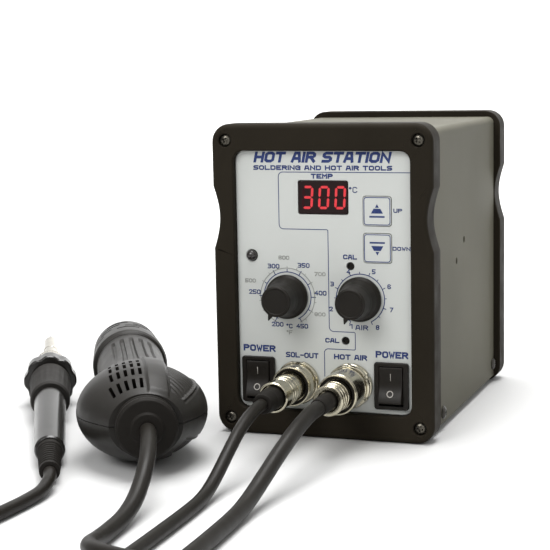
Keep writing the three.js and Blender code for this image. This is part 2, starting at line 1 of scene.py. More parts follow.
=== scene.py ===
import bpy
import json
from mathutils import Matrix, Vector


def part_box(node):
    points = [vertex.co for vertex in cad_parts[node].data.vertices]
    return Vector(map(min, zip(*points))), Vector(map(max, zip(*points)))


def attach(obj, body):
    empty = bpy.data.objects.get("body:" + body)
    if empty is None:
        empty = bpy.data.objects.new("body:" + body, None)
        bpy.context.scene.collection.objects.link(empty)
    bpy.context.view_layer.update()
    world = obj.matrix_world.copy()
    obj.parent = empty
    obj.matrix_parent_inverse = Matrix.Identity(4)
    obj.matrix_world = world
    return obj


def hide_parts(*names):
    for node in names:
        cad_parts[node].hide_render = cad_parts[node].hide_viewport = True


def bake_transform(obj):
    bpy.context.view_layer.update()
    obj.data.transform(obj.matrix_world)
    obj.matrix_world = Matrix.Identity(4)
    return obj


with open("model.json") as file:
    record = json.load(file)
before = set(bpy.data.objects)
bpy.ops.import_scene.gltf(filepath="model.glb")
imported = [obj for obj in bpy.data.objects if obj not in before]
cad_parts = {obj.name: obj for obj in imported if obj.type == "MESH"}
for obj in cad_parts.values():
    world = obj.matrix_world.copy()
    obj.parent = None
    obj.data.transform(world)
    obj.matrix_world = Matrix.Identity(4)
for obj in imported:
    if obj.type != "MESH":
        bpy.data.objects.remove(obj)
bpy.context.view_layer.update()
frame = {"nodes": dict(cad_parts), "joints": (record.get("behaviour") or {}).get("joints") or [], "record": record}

import json
from math import acos, atan2, cos, hypot, pi, radians, sin, sqrt, tan

import bmesh
import bpy
import numpy as np
from bmesh import ops
from mathutils import Matrix, Vector
from numpy.linalg import norm

MM = 0.001                       # lengths below are in millimetres, and meshes in metres
SHARP = 35                       # degrees between faces, above which an edge stays sharp
SLOTS = {part["node"]: part["material_slot"] for part in frame["record"]["subparts"]}
BODIES = {node: body for body, held in frame["record"]["behaviour"]["bodies"].items() for node in held}


def at(x, y, z):
    return Matrix.Translation((x, y, z))


def spin(axis, angle):
    return Matrix.Rotation(angle, 4, axis)


# ---- places taken from the frame
def span(node):
    """Lowest and highest corner of a CAD node, in millimetres."""
    low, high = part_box(node)
    return np.array(low) / MM, np.array(high) / MM


def centre(node):
    low, high = span(node)
    return (low + high) / 2


def facing(node):
    """A node seen from the front: its middle, its width and height, and where it starts and ends."""
    (x0, y0, z0), (x1, y1, z1) = span(node)
    return (x0 + x1) / 2, (z0 + z1) / 2, x1 - x0, z1 - z0, y0, y1


BEZEL_LOW, BEZEL_HIGH = span("front_bezel")
FRONT, BEZEL_BACK = BEZEL_LOW[1], BEZEL_HIGH[1]
REAR = span("rear_bezel")[1][1]
WIDTH, HEIGHT = BEZEL_HIGH[0] - BEZEL_LOW[0], BEZEL_HIGH[2]
SKIN_Y = span("panel_overlay")[0][1]            # printed face of the panel
INK_Y = SKIN_Y - 0.04
GAP = 0.3

# Each handpiece points along the axis that its nut or its own cord end shows.
TOOL_TURN = radians(28)
IRON_AT, IRON_TILT = (-81.3, -106.8, 5.3), radians(3)
GUN_AT, GUN_TILT = (-45, -92, 21), radians(-1)


def tool_matrix(place, tilt):
    """Places a tool drawn along its own +Y, from its cord end."""
    return at(*place) @ spin("Z", TOOL_TURN) @ spin("X", tilt)


IRON = tool_matrix(IRON_AT, IRON_TILT)
GUN = tool_matrix(GUN_AT, GUN_TILT)


# ---- camera
CAMERA_AT = (206.5, -628.6, 165.3)
CAMERA_YAW, CAMERA_PITCH, CAMERA_ROLL = 20.1, -8.02, -1.14       # degrees
LENS = 99.9                      # for a 36 mm sensor


def show(name, data):
    """An object made from its data, in the scene."""
    obj = bpy.data.objects.new(name, data)
    bpy.context.scene.collection.objects.link(obj)
    return obj


def make_camera():
    data = bpy.data.cameras.new("camera")
    data.lens, data.sensor_width = LENS, 36
    data.clip_start, data.clip_end = 0.01, 20
    cam = show("camera", data)
    yaw, pitch, roll = (radians(a) for a in (CAMERA_YAW, CAMERA_PITCH, CAMERA_ROLL))
    turn = spin("Z", yaw) @ spin("X", pi / 2 + pitch) @ spin("Z", roll)
    cam.matrix_world = at(*(Vector(CAMERA_AT) * MM)) @ turn
    bpy.context.scene.camera = cam


make_camera()


def smoothstep(t):
    t = max(0.0, min(1.0, t))
    return t * t * (3 - 2 * t)


# ---- meshes
def build(name, verts, faces, matrix=None, sharp=SHARP):
    """A mesh object from millimetre points, placed by a millimetre matrix."""
    points = [Vector(v) for v in verts]
    if matrix is not None:
        points = [matrix @ p for p in points]
    mesh = bpy.data.meshes.new(name)
    mesh.from_pydata([p * MM for p in points], [], faces)
    return dress(name, mesh, sharp)


def into_mesh(bm, mesh):
    bm.to_mesh(mesh)
    bm.free()
    return mesh


def dress(name, mesh, sharp=SHARP):
    """Clean the mesh, face it outwards, smooth it but for its sharp edges, and link it."""
    bm = bmesh.new()
    bm.from_mesh(mesh)
    ops.remove_doubles(bm, verts=bm.verts, dist=1e-6)
    ops.dissolve_degenerate(bm, edges=bm.edges, dist=1e-7)
    ops.recalc_face_normals(bm, faces=bm.faces)
    return smoothed(name, into_mesh(bm, mesh), sharp)


def smoothed(name, mesh, sharp=SHARP):
    mesh.polygons.foreach_set("use_smooth", [True] * len(mesh.polygons))
    mesh.set_sharp_from_angle(angle=radians(sharp))
    return show(name, mesh)


def paint(obj, material):
    obj.data.materials.clear()
    obj.data.materials.append(material)


def finish_piece(obj, material, node=None, body="station", slot=None):
    """Give a piece its material, and the body of the CAD node that it stands for."""
    paint(obj, material)
    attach(obj, BODIES.get(node, body))
    slot or SLOTS[node]
    if node:
        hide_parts(node)
    obj.modifiers.new("even_shading", "WEIGHTED_NORMAL").keep_sharp = True


def rounded(points, steps=5):
    """A profile of (radius, along[, fillet]) with each filleted corner turned into an arc."""
    out = []
    for i, point in enumerate(points):
        fillet = point[2] if len(point) > 2 else 0
        here = np.array(point[:2], float)
        if not fillet or i in (0, len(points) - 1):
            out.append(tuple(here))
            continue
        before, after = np.array(points[i - 1][:2], float), np.array(points[i + 1][:2], float)
        a, b = before - here, after - here
        la, lb = norm(a), norm(b)
        a, b = a / la, b / lb
        half = acos(max(-1, min(1, float(a @ b)))) / 2
        if half > 1.55:
            out.append(tuple(here))
            continue
        reach = min(fillet / tan(half), 0.49 * la, 0.49 * lb)
        radius = reach * tan(half)
        middle = here + (a + b) / norm(a + b) * radius / sin(half)
        start, end = here + a * reach - middle, here + b * reach - middle
        t0, t1 = atan2(start[1], start[0]), atan2(end[1], end[0])
        sweep = (t1 - t0 + pi) % (2 * pi) - pi
        for k in range(steps + 1):
            t = t0 + sweep * k / steps
            out.append((middle[0] + radius * cos(t), middle[1] + radius * sin(t)))
    return out


def turned(name, profile, matrix, segments, shape=None):
    """Revolve a profile about Y. shape(angle, radius, along) may change a point's radius."""
    profile = rounded(profile)
    closed = profile[0][0] > 1e-6
    rings, verts, faces = [], [], []
    for r, y in profile[:-1] if closed else profile:
        ring = []
        for i in range(segments if r > 1e-6 else 1):
            a = 2 * pi * i / segments
            radius = shape(a, r, y) if shape and r > 1e-6 else r
            ring.append(len(verts))
            verts.append((radius * sin(a), y, radius * cos(a)))
        rings.append(ring)
    if closed:
        rings.append(rings[0])
    for one, two in zip(rings, rings[1:]):
        for i in range(segments):
            j = (i + 1) % segments
            a, b = one[i % len(one)], one[j % len(one)]
            c, d = two[j % len(two)], two[i % len(two)]
            face = list(dict.fromkeys((a, b, c, d)))
            if len(face) > 2:
                faces.append(face)
    return build(name, verts, faces, matrix)


def block(name, low, high, matrix=None, bevel=0.3, segments=3):
    """A box with rounded edges."""
    bm = bmesh.new()
    ops.create_cube(bm, size=1)
    for v in bm.verts:
        v.co = Vector(low[i] + (v.co[i] + 0.5) * (high[i] - low[i]) for i in range(3))
    ops.bevel(bm, geom=bm.edges[:], offset=bevel, segments=segments, affect="EDGES", profile=0.5)
    return from_bmesh(name, bm, matrix)


def from_bmesh(name, bm, matrix=None):
    if matrix is not None:
        ops.transform(bm, matrix=matrix, verts=bm.verts)
    ops.scale(bm, vec=(MM, MM, MM), verts=bm.verts)
    return dress(name, into_mesh(bm, bpy.data.meshes.new(name)))


def quads(n, rings, wrap=False):
    """Faces between rings of n points each and, with wrap, from the last ring to the first."""
    pairs = [(j, (j + 1) % rings) for j in range(rings if wrap else rings - 1)]
    return [[j * n + i, j * n + (i + 1) % n, k * n + (i + 1) % n, k * n + i] for j, k in pairs
        for i in range(n)]


def prism(points, along):
    """A solid from an outline to the same outline moved along, and its moved corners."""
    bm = bmesh.new()
    face = bm.faces.new([bm.verts.new(p) for p in points])
    made = ops.extrude_face_region(bm, geom=[face])
    moved = [g for g in made["geom"] if isinstance(g, bmesh.types.BMVert)]
    ops.translate(bm, vec=along, verts=moved)
    ops.recalc_face_normals(bm, faces=bm.faces)
    return bm, moved


def plate(name, outline, y0, y1, bevel, segments=3):
    """An outline of (x, z) points given its depth along Y, with its rim edges rounded."""
    bm, _ = prism([(x, y0, z) for x, z in outline], (0, y1 - y0, 0))
    rim = [e for e in bm.edges if abs(e.verts[0].co.y - e.verts[1].co.y) < 1e-6]
    ops.bevel(bm, geom=rim, offset=bevel, segments=segments, affect="EDGES", profile=0.5)
    return from_bmesh(name, bm)


def round_rect(w, h, r, x, z, steps=8):
    out = []
    for cx, cz, start in ((1, -1, -90), (1, 1, 0), (-1, 1, 90), (-1, -1, 180)):
        for k in range(steps + 1):
            a = radians(start + 90 * k / steps)
            out.append((x + cx * (w / 2 - r) + r * cos(a), z + cz * (h / 2 - r) + r * sin(a)))
    return out


def discard(obj):
    mesh = obj.data
    bpy.data.objects.remove(obj)
    bpy.data.meshes.remove(mesh)


def merge(name, *objects):
    """Join meshes into one and return it under a new name."""
    bm = bmesh.new()
    for obj in objects:
        bm.from_mesh(obj.data)
        discard(obj)
    return smoothed(name, into_mesh(bm, bpy.data.meshes.new(name)))


def carve(obj, *tools, operation="DIFFERENCE"):
    """Cut the tools out of obj, apply the result and remove the tools."""
    for tool in tools:
        modifier = obj.modifiers.new("carve", "BOOLEAN")
        modifier.operation, modifier.solver, modifier.object = operation, "MANIFOLD", tool
        bpy.context.view_layer.update()
        evaluated = obj.evaluated_get(bpy.context.evaluated_depsgraph_get())
        mesh = bpy.data.meshes.new_from_object(evaluated)
        obj.modifiers.clear()
        old, obj.data = obj.data, mesh
        bpy.data.meshes.remove(old)
        discard(tool)
    obj.data.set_sharp_from_angle(angle=radians(SHARP))
    return obj


# ---- cords
IRON_CORD, AIR_CORD = 2.6, 3.2                  # radii
BOOT_END = -50                                  # where the cords leave their plugs

IRON_LEAD = [(-12.2, -50.3, 24), (-12.2, -58, 23.6), (-12.2, -68, 21.6), (-12.2, -79, 17.8),
    (-12.1, -90, 12.8), (-11.9, -101, 7.8), (-11.6, -111, 4.4), (-11.2, -121, 2.9), (-10.8, -132, 2.6),
    (-10.2, -160, 2.6), (-10, -190, 2.6), (-10, -233.5, 2.6)]
IRON_TAIL = [(-79.6, -233.5, 7.8), (-79.6, -222, 7.1), (-79.5, -209, 5.2), (-79.2, -196, 3.5),
    (-78.6, -183, 2.7), (-77.4, -166, 2.6), (-76, -150, 2.6), (-75.2, -137, 2.6), (-75.2, -125, 3.1)]
AIR_LEAD = [(12.2, -50.3, 24), (12.2, -60, 23.7), (11.9, -71, 22), (11.3, -83, 18.9), (10.4, -95, 14.7),
    (9.6, -107, 10.1), (9.1, -118, 6.4), (9.1, -129, 4.1), (9.4, -140, 3.3), (10, -155, 3.2),
    (10.6, -180, 3.2), (11, -226, 3.2)]
AIR_TAIL = [(28, -209, 9.6), (19, -209, 9.7), (9, -208.8, 9.8), (-1, -207.2, 9.7), (-10, -203, 9.2),
    (-17.6, -196, 7.9), (-23, -187, 5.8), (-26, -176, 3.8), (-27.4, -164, 3.2), (-28.2, -151, 3.9),
    (-29.2, -139, 6.8), (-31, -128, 11.4), (-33.6, -117.5, 16.6)]


def behind(tool):
    """Two points straight behind a handpiece, where its cord comes out."""
    return [tuple(tool @ Vector((0, -back, 0))) for back in (8, 1.3 * GAP)]


def winding(centre_xy, mean, radius, start, turns, direction):
    """Turns that spiral inwards on the bench, climb one layer and spiral out again."""
    thick, climb = 2 * radius, 1 / 6
    each = (turns - climb) / 2                  # turns in each layer
    out_radius = mean + each * thick / 2
    points, count = [], int(turns * 40)
    for i in range(count + 1):
        t = turns * i / count
        if t < each:
            r, z = out_radius - thick * t, radius
        elif t < each + climb:
            k = (t - each) / climb
            r, z = out_radius - thick * each, radius + thick * (3 * k * k - 2 * k ** 3)
        else:
            r, z = out_radius - thick * each + thick * (t - each - climb), radius + thick
        a = radians(start) + direction * 2 * pi * t
        points.append((centre_xy[0] + r * cos(a), centre_xy[1] + r * sin(a), z))
    return points


def distances(line):
    """How far along a line each of its points is."""
    return np.r_[0, np.cumsum(norm(np.diff(line, axis=0), axis=1))]


def between(s, start, end, u, v):
    """The value at s on a line that is u at start and v at end."""
    return (end - s) / (end - start) * u + (s - start) / (end - start) * v


def smooth_path(points, spacing=1.6):
    """A Catmull-Rom line through the points (centripetal), in even steps."""
    p = [np.array(q, float) for q in points]
    p = [2 * p[0] - p[1], *p, 2 * p[-1] - p[-2]]
    line = []
    for four in zip(p, p[1:], p[2:], p[3:]):
        t = [0]
        for u, v in zip(four, four[1:]):
            t.append(t[-1] + max(1e-6, norm(v - u)) ** 0.5)
        n = max(2, int(norm(four[2] - four[1]) / spacing * 3))
        for k in range(n):
            s, level = t[1] + (t[2] - t[1]) * k / n, four
            for ends in (((0, 1), (1, 2), (2, 3)), ((0, 2), (1, 3)), ((1, 2),)):
                level = [between(s, t[e], t[f], u, v) for (e, f), u, v in zip(ends, level, level[1:])]
            line.append(level[0])
    line = np.array([*line, p[-2]])
    steps = distances(line)
    even = np.linspace(0, steps[-1], max(3, int(steps[-1] / spacing)))
    return np.array([np.interp(even, steps, line[:, i]) for i in range(3)]).T


SIDES = 20                       # of a cord's section


def swept(name, path, radius):
    """A round tube along a path, with closed ends."""
    tangents = np.gradient(path, axis=0)
    tangents /= norm(tangents, axis=1)[:, None]
    normal = np.cross(tangents[0], (0, 0, 1))
    verts = []
    for point, tangent in zip(path, tangents):
        normal = normal - tangent * (normal @ tangent)
        normal /= norm(normal)
        side = np.cross(tangent, normal)
        for i in range(SIDES):
            a = 2 * pi * i / SIDES
            verts.append(point + radius * (cos(a) * normal + sin(a) * side))
    faces = quads(SIDES, len(path))
    faces += [list(range(SIDES))[::-1], [(len(path) - 1) * SIDES + i for i in range(SIDES)]]
    return build(name, verts, faces)


def lift_end(obj, path, loose):
    """Lay the cord's points out straight along X by how far along its path they lie, apply the
    object's place to its mesh and put the points back. loose is not used."""
    along, verts = distances(path) * MM, obj.data.vertices
    rest = [v.co.copy() for v in verts]
    for i, v in enumerate(verts):
        v.co = (along[i // SIDES], 0, 0)
    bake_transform(obj)
    for v, place in zip(verts, rest):
        v.co = place


def make_cord(name, lead, tail, tool, radius, coil):
    """A whole cord: lead, coil and tail in one line."""
    turns = winding(coil["at"], coil["mean"], radius, coil["start"], coil["turns"], coil["direction"])
    path = smooth_path([*lead[:-1], *turns, *tail[1:], *behind(tool)])
    length = float(distances(path)[-1])
    obj = swept(name, path, radius)
    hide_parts(f"{name}_lead", f"{name}_coil", f"{name}_tail")
    lift_end(obj, path, coil["loose"])
    Vector(lead[0]) * MM
    return obj


# loose is the length of cord before a handpiece.
IRON_COIL = dict(at=(-44.8, -258), mean=29, start=0, turns=4.5, direction=-1, loose=128)
AIR_COIL = dict(at=(52, -250), mean=35, start=180, turns=3.75, direction=1, loose=165)
iron_cord = make_cord("iron_cord", IRON_LEAD, IRON_TAIL, IRON, IRON_CORD, IRON_COIL)
air_cord = make_cord("air_cord", AIR_LEAD, AIR_TAIL, GUN, AIR_CORD, AIR_COIL)


# ---- materials
def node_tree(name):
    material = bpy.data.materials.new(name)
    material.use_nodes = True
    tree = material.node_tree
    return material, tree, tree.nodes["Principled BSDF"]


def feed(node, inputs):
    """Set a node's inputs, each to a value or from another node or socket."""
    for name, value in inputs.items():
        if isinstance(value, bpy.types.Node):
            value = value.outputs[0]
        if isinstance(value, bpy.types.NodeSocket):
            node.id_data.links.new(value, node.inputs[name])
        else:
            node.inputs[name].default_value = value


def add(tree, kind, inputs=None, **settings):
    node = tree.nodes.new(f"ShaderNode{kind}")
    for name, value in settings.items():
        setattr(node, name, value)
    feed(node, inputs or {})
    return node


def ramp(tree, source, low, high, start=0.0, end=1.0):
    """Turn a number into a colour between two."""
    node = add(tree, "ValToRGB", {"Fac": source})
    for element, place, colour in zip(node.color_ramp.elements, (start, end), (low, high)):
        element.position, element.color = place, (*colour, 1)
    return node


def surface(name, colour, rough, metallic=0.0, vary=0.1, patch=300, rough_vary=0.08, grain=2600, bump=0.05,
        depth=0.05, coat=0.0, specular=0.5, axis=None, stretch=1.0):
    """A finished surface: colour that drifts in soft patches, uneven gloss and a fine grain.
    With axis, the grain runs in rings round it, as on a turned part."""
    material, tree, shader = node_tree(name)
    place = add(tree, "TexCoord").outputs["Object"]
    low, high = ([min(1, c * factor) for c in colour] for factor in (1 - vary, 1 + vary))
    tint = ramp(tree, add(tree, "TexNoise", {"Vector": place, "Scale": patch, "Detail": 4}), low, high, 0.3,
        0.7)
    smudge = add(tree, "TexNoise", {"Vector": place, "Scale": patch * 3.1, "Detail": 6})
    gloss = add(tree, "MapRange", {"Value": smudge, "From Min": 0.3, "From Max": 0.7,
        "To Min": max(0.02, rough - rough_vary), "To Max": min(1, rough + rough_vary)})
    fine = add(tree, "TexNoise", {"Scale": grain, "Detail": 3})
    if axis is None:
        feed(fine, {"Vector": add(tree, "Mapping", {"Vector": place, "Scale": (1, stretch, 1)})})
    else:
        fine.noise_dimensions = "1D"
        along = add(tree, "VectorMath", {0: place, 1: axis}, operation="DOT_PRODUCT")
        feed(fine, {"W": along.outputs["Value"]})
    raised = add(tree, "Bump", {"Height": fine, "Strength": bump, "Distance": depth * MM})
    feed(shader, {"Base Color": tint, "Roughness": gloss, "Normal": raised, "Metallic": metallic,
        "Coat Weight": coat, "Coat Roughness": 0.12, "Specular IOR Level": specular})
    return material


def glowing(name, colour, strength):
    material, tree, shader = node_tree(name)
    patches = add(tree, "TexNoise", {"Vector": add(tree, "TexCoord").outputs["Object"], "Scale": 900})
    tint = ramp(tree, patches, [c * 0.8 for c in colour], colour)
    feed(shader, {"Base Color": tint, "Emission Color": (*colour, 1), "Emission Strength": strength,
        "Roughness": 0.3})
    return material


TOOL_AXIS = (-sin(TOOL_TURN), cos(TOOL_TURN), 0)
BEZEL = surface("bezel_plastic", (0.0175, 0.0145, 0.0103), 0.5, patch=35, bump=0.2, depth=0.03, specular=0.03)
PAINT = surface("housing_paint", (0.098, 0.094, 0.072), 0.42, vary=0.12, patch=9, rough_vary=0.02, grain=1700,
    bump=0.08, depth=0.02, specular=0.02)
SHEET = surface("bare_sheet", (0.52, 0.52, 0.5), 0.38, 0.85, patch=35, grain=900, bump=0.1, stretch=0.05)
FILM = surface("panel_film", (0.50, 0.515, 0.495), 0.38, vary=0.03, patch=20, rough_vary=0.03, grain=3000,
    bump=0.06, depth=0.02, specular=0.3)
BLUE = surface("blue_ink", (0.02, 0.036, 0.135), 0.5, vary=0.12, grain=4000, specular=0.25)
GREY = surface("grey_ink", (0.27, 0.28, 0.26), 0.5, grain=4000)
WHITE = surface("white_ink", (0.36, 0.34, 0.31), 0.5, vary=0.06, grain=4000)
SCREW_BLACK = surface("black_oxide", (0.1, 0.092, 0.076), 0.3, 0.9, vary=0.3, patch=400, grain=3000,
    bump=0.15)
COVER_SCREW = surface("black_zinc", (0.045, 0.042, 0.036), 0.35, 0.7, vary=0.3, patch=400, grain=3000,
    bump=0.15)
FILTER = surface("display_filter", (0.012, 0.005, 0.005), 0.16, patch=35, rough_vary=0.03, grain=800,
    bump=0.02, specular=0.12)
LED = glowing("lit_segment", (0.5, 0.018, 0.026), 0.5)
DIM = surface("unlit_segment", (0.024, 0.003, 0.005), 0.3, grain=2000, bump=0.03, specular=0.12)
LENS_RED = surface("lamp_lens", (0.012, 0.009, 0.008), 0.14, vary=0.15, patch=400, rough_vary=0.04, grain=900,
    bump=0.03, coat=0.5)
KNOB = surface("knob_plastic", (0.0085, 0.0068, 0.0048), 0.46, patch=90, rough_vary=0.04, grain=3200,
    bump=0.12, depth=0.02, specular=0.2)
SWITCH = surface("switch_plastic", (0.0095, 0.0078, 0.006), 0.42, patch=120, rough_vary=0.04, grain=3600,
    bump=0.1, depth=0.02, specular=0.2)
RUBBER = surface("boot_rubber", (0.0095, 0.0082, 0.0068), 0.6, patch=90, rough_vary=0.04, grain=2400,
    bump=0.2, depth=0.03, specular=0.1)
CORD = surface("cord_rubber", (0.0108, 0.0094, 0.0076), 0.4, patch=60, rough_vary=0.04, grain=1800, bump=0.12,
    depth=0.03, specular=0.13)
NICKEL = surface("nickel_plate", (0.5, 0.465, 0.36), 0.17, 1.0, patch=140, rough_vary=0.05, grain=2800,
    bump=0.08, depth=0.012, axis=(0, 1, 0))
HANDLE = surface("handle_plastic", (0.0135, 0.0122, 0.0104), 0.42, vary=0.05, patch=40, rough_vary=0.03,
    bump=0.12, depth=0.02, specular=0.22)
GLOSS = surface("glossy_handle", (0.0105, 0.0096, 0.0084), 0.2, vary=0.05, patch=40, rough_vary=0.02,
    bump=0.03, depth=0.01, specular=0.35)
GRIP = surface("grip_rubber", (0.0125, 0.0112, 0.0098), 0.66, vary=0.08, patch=60, rough_vary=0.04,
    grain=1700, bump=0.3, specular=0.2)
STEEL = surface("plated_steel", (0.55, 0.52, 0.45), 0.2, 1.0, vary=0.12, patch=90, rough_vary=0.03,
    grain=2200, depth=0.01, axis=TOOL_AXIS)
TIP = surface("tip_metal", (0.33, 0.33, 0.33), 0.34, 0.9, vary=0.3, patch=160, bump=0.2, axis=TOOL_AXIS)
BOARD = surface("solder_mask", (0.02, 0.11, 0.05), 0.35, vary=0.2, patch=160, grain=1200, bump=0.1)
IRON_CORE = surface("laminations", (0.08, 0.07, 0.065), 0.5, 0.5, vary=0.2, patch=35, grain=1600, bump=0.4,
    stretch=0.05)
paint(iron_cord, CORD)
paint(air_cord, CORD)


# ---- bezels
CORNER, WAIST, WAIST_Z = 8, 2.8, (83, 110.8)
WINDOW = dict(w=80, h=114.6, r=4.6, z=69)


def bezel_outline():
    """The bezel's outline, counter-clockwise from the lower right corner."""
    h, (z0, z1) = WIDTH / 2, WAIST_Z

    def corner(cx, cz, start):
        angles = [radians(start + 9 * k) for k in range(11)]
        return [(cx + CORNER * cos(a), cz + CORNER * sin(a)) for a in angles]

    right = [(h - WAIST * sin(pi * t), z0 + (z1 - z0) * t) for t in np.linspace(0, 1, 33)]
    left = [(-x, z) for x, z in reversed(right)]
    return [*corner(h - CORNER, CORNER, -90), *right, *corner(h - CORNER, HEIGHT - CORNER, 0),
        *corner(-h + CORNER, HEIGHT - CORNER, 90), *left, *corner(-h + CORNER, CORNER, 180)]


def polar(outline, angles, z, inset):
    """Where rays from the middle meet an outline, moved inwards by inset along its normal."""
    p = np.array(outline) - (0, z)
    fine = np.concatenate([np.linspace(a, b, 30, endpoint=False) for a, b in zip(p, np.roll(p, -1, axis=0))])
    a = np.unwrap(np.arctan2(fine[:, 1], fine[:, 0]))
    order = np.argsort(a)
    a, r = a[order], np.hypot(fine[:, 0], fine[:, 1])[order]
    a, r = np.r_[a - 2 * pi, a, a + 2 * pi], np.r_[r, r, r]
    radius = np.interp(angles, a, r)
    ring = np.stack([radius * np.cos(angles), radius * np.sin(angles)], 1)
    along = np.roll(ring, -1, axis=0) - np.roll(ring, 1, axis=0)
    normal = np.stack([-along[:, 1], along[:, 0]], 1) / norm(along, axis=1)[:, None]
    return ring + normal * inset + (0, z)


def make_bezel(name, matrix):
    outer, z = bezel_outline(), WINDOW["z"]
    inner = round_rect(WINDOW["w"], WINDOW["h"], WINDOW["r"], 0, z, steps=10)
    angles = [np.arctan2(q - z, p) for p, q in [*outer, *inner]] + list(np.linspace(-pi, pi, 160))
    angles = np.unique(np.round(np.sort(np.array(angles)), 4))[:-1]
    edge, lip, window_edge, back_edge = 2.2, 3.8, 0.8, 0.4
    x, xi, b, bi = 44.5, 37.7, 3.5, 11.9        # pocket behind the lip, with a block in each corner
    t, ti = 2 * z - b, 2 * z - bi
    pocket = [(xi, b), (xi, bi), (x, bi), (x, ti), (xi, ti), (xi, t)]
    pocket += [(-p, q) for p, q in reversed(pocket)]
    angles = np.unique(np.r_[angles, [round(atan2(q - z, p), 4) for p, q in pocket]])
    arc = [radians(a) for a in (0, 18, 36, 54, 72, 90)]
    rings = [(outer, back_edge, BEZEL_BACK), (outer, 0, BEZEL_BACK - back_edge)]
    rings += [(outer, edge * (1 - cos(a)), FRONT + edge * (1 - sin(a))) for a in arc]
    rings += [(inner, -window_edge * (1 - sin(a)), FRONT + window_edge * (1 - cos(a))) for a in arc]
    rings += [(inner, 0, FRONT + lip - 0.3), (inner, -0.3, FRONT + lip), (pocket, 0, FRONT + lip),
        (pocket, 0, BEZEL_BACK)]
    verts = [(x, y, w) for outline, inset, y in rings for x, w in polar(outline, angles, z, inset)]
    obj = build(f"{name}_moulding", verts, quads(len(angles), len(rings), wrap=True))
    tools = []
    for i in range(4):
        x, _, w = centre(f"front_screw_{i + 1}")
        profile = [(0, FRONT - 2), (3.3, FRONT - 2), (3.3, FRONT), (2.9, FRONT + 0.4), (2.9, FRONT + 2.2),
            (1.55, FRONT + 2.2), (1.55, BEZEL_BACK + 2), (0, BEZEL_BACK + 2)]
        tools.append(turned("tool", profile, at(x, 0, w), 40))
    carve(obj, *tools)
    obj.data.transform(Matrix.Scale(MM, 4) @ matrix @ Matrix.Scale(1 / MM, 4))
    finish_piece(obj, BEZEL, name)


FACE_BACK = at(0, FRONT + REAR, 0) @ spin("Z", pi)
make_bezel("front_bezel", Matrix.Identity(4))
make_bezel("rear_bezel", FACE_BACK)


# ---- screws
def make_screw(name, matrix, head=2.6, shank=1.2, length=8.5):
    """A pan head with a cross recess, facing -Y, its top at y = 0."""
    profile = [(0, 0), (head * 0.35, 0.02), (head * 0.75, 0.35), (head, 1.0, 0.2), (head, 1.5, 0.1),
        (shank, 1.5), (shank, length, 0.3), (0, length)]
    obj = turned(name, profile, matrix, 48)
    tools = []
    for x, z in ((0.42, 1.75), (1.75, 0.42)):
        bm = bmesh.new()
        ops.create_cube(bm, size=1)
        for v in bm.verts:
            deep = v.co.y > 0
            taper = 0.45 if deep else 1
            v.co = Vector((2 * x * v.co.x * (taper if x > 1 else 1), 1.1 if deep else -0.5, 2 * z * v.co.z
                * (taper if z > 1 else 1)))
        tools.append(from_bmesh("tool", bm, matrix))
    return carve(obj, *tools)


for i in range(1, 5):
    for side, turn, face, inward in (("front", 0, FRONT, 1), ("rear", pi, REAR, -1)):
        node = f"{side}_screw_{i}"
        x, y, z = centre(node)
        place = at(x, face + inward * 0.5, z) @ spin("Z", turn) @ spin("Y", radians(25 * i))
        finish_piece(make_screw(f"{node}_head", place), SCREW_BLACK, node)

# Four low screws hold the cover to the base plate, two on each side.
COVER_LOW, COVER_HIGH = span("housing_cover")
for i, (side, y, z) in enumerate(((1, 22.6, 8), (1, 128.2, 9.5), (-1, 22.6, 8), (-1, 128.2, 9.5))):
    place = at(side * (COVER_HIGH[0] + 1.5), y, z) @ spin("Z", side * pi / 2)
    screw = make_screw(f"cover_screw_{i + 1}", place, head=2.9, shank=1.4, length=4)
    finish_piece(screw, COVER_SCREW, slot="screw_black")


# ---- housing
def make_cover():
    """The folded cover: a wall, a bend, the top, a bend and a wall, with two holder holes."""
    (x, y0, b), (_, y1, t) = (COVER_HIGH[0], COVER_LOW[1], COVER_LOW[2]), COVER_HIGH
    bend, wall = 3, 1

    def side(x, r):
        """Half of a line that follows the sheet, up the right wall and round its bend of radius r."""
        turn = np.radians(np.linspace(0, 90, 13))
        half = [(x, b), *[(COVER_HIGH[0] - bend + r * cos(a), t - bend + r * sin(a)) for a in turn]]
        return [*half, *[(-p, q) for p, q in reversed(half)]]

    outer, inner = side(x, bend), side(x - wall, bend - wall)
    obj = plate("housing_cover_sheet", [*outer, *reversed(inner)], y0, y1, bevel=0.15, segments=2)
    hole = [(0, -4), (1.6, -4), (1.6, 4), (0, 4)]
    tools = [turned("tool", hole, at(x, y, z) @ spin("Z", pi / 2), 32) for y, z in ((65, 80.8), (50, 72.7))]
    finish_piece(carve(obj, *tools), PAINT, "housing_cover")


make_cover()


# These CAD nodes keep their shapes, with finished materials and softened edges.
for node, material, bevel in (("base_plate", SHEET, 0.2), ("rear_panel", SHEET, 0.15),
        ("front_panel", SHEET, 0.1), ("panel_overlay", FILM, 0.05), ("control_board", BOARD, 0.1),
        ("main_board", BOARD, 0.1), ("display_module", SWITCH, 0.3), ("temp_pot", SHEET, 0.2),
        ("air_pot", SHEET, 0.2), ("transformer", IRON_CORE, 0.8), ("power_inlet", SWITCH, 0.4),
        ("cal_trimmer_1", KNOB, 0.05), ("cal_trimmer_2", KNOB, 0.05)):
    obj = frame["nodes"][node]
    paint(obj, material)
    modifier = obj.modifiers.new("soft_edges", "BEVEL")
    modifier.width, modifier.segments = bevel * MM, 2
    modifier.limit_method, modifier.angle_limit = "ANGLE", radians(40)


# ---- printing
INK = 0.02                       # thickness of a printed layer
PROUD = 0.03                     # how far its face stands off a key, the display or a rocker


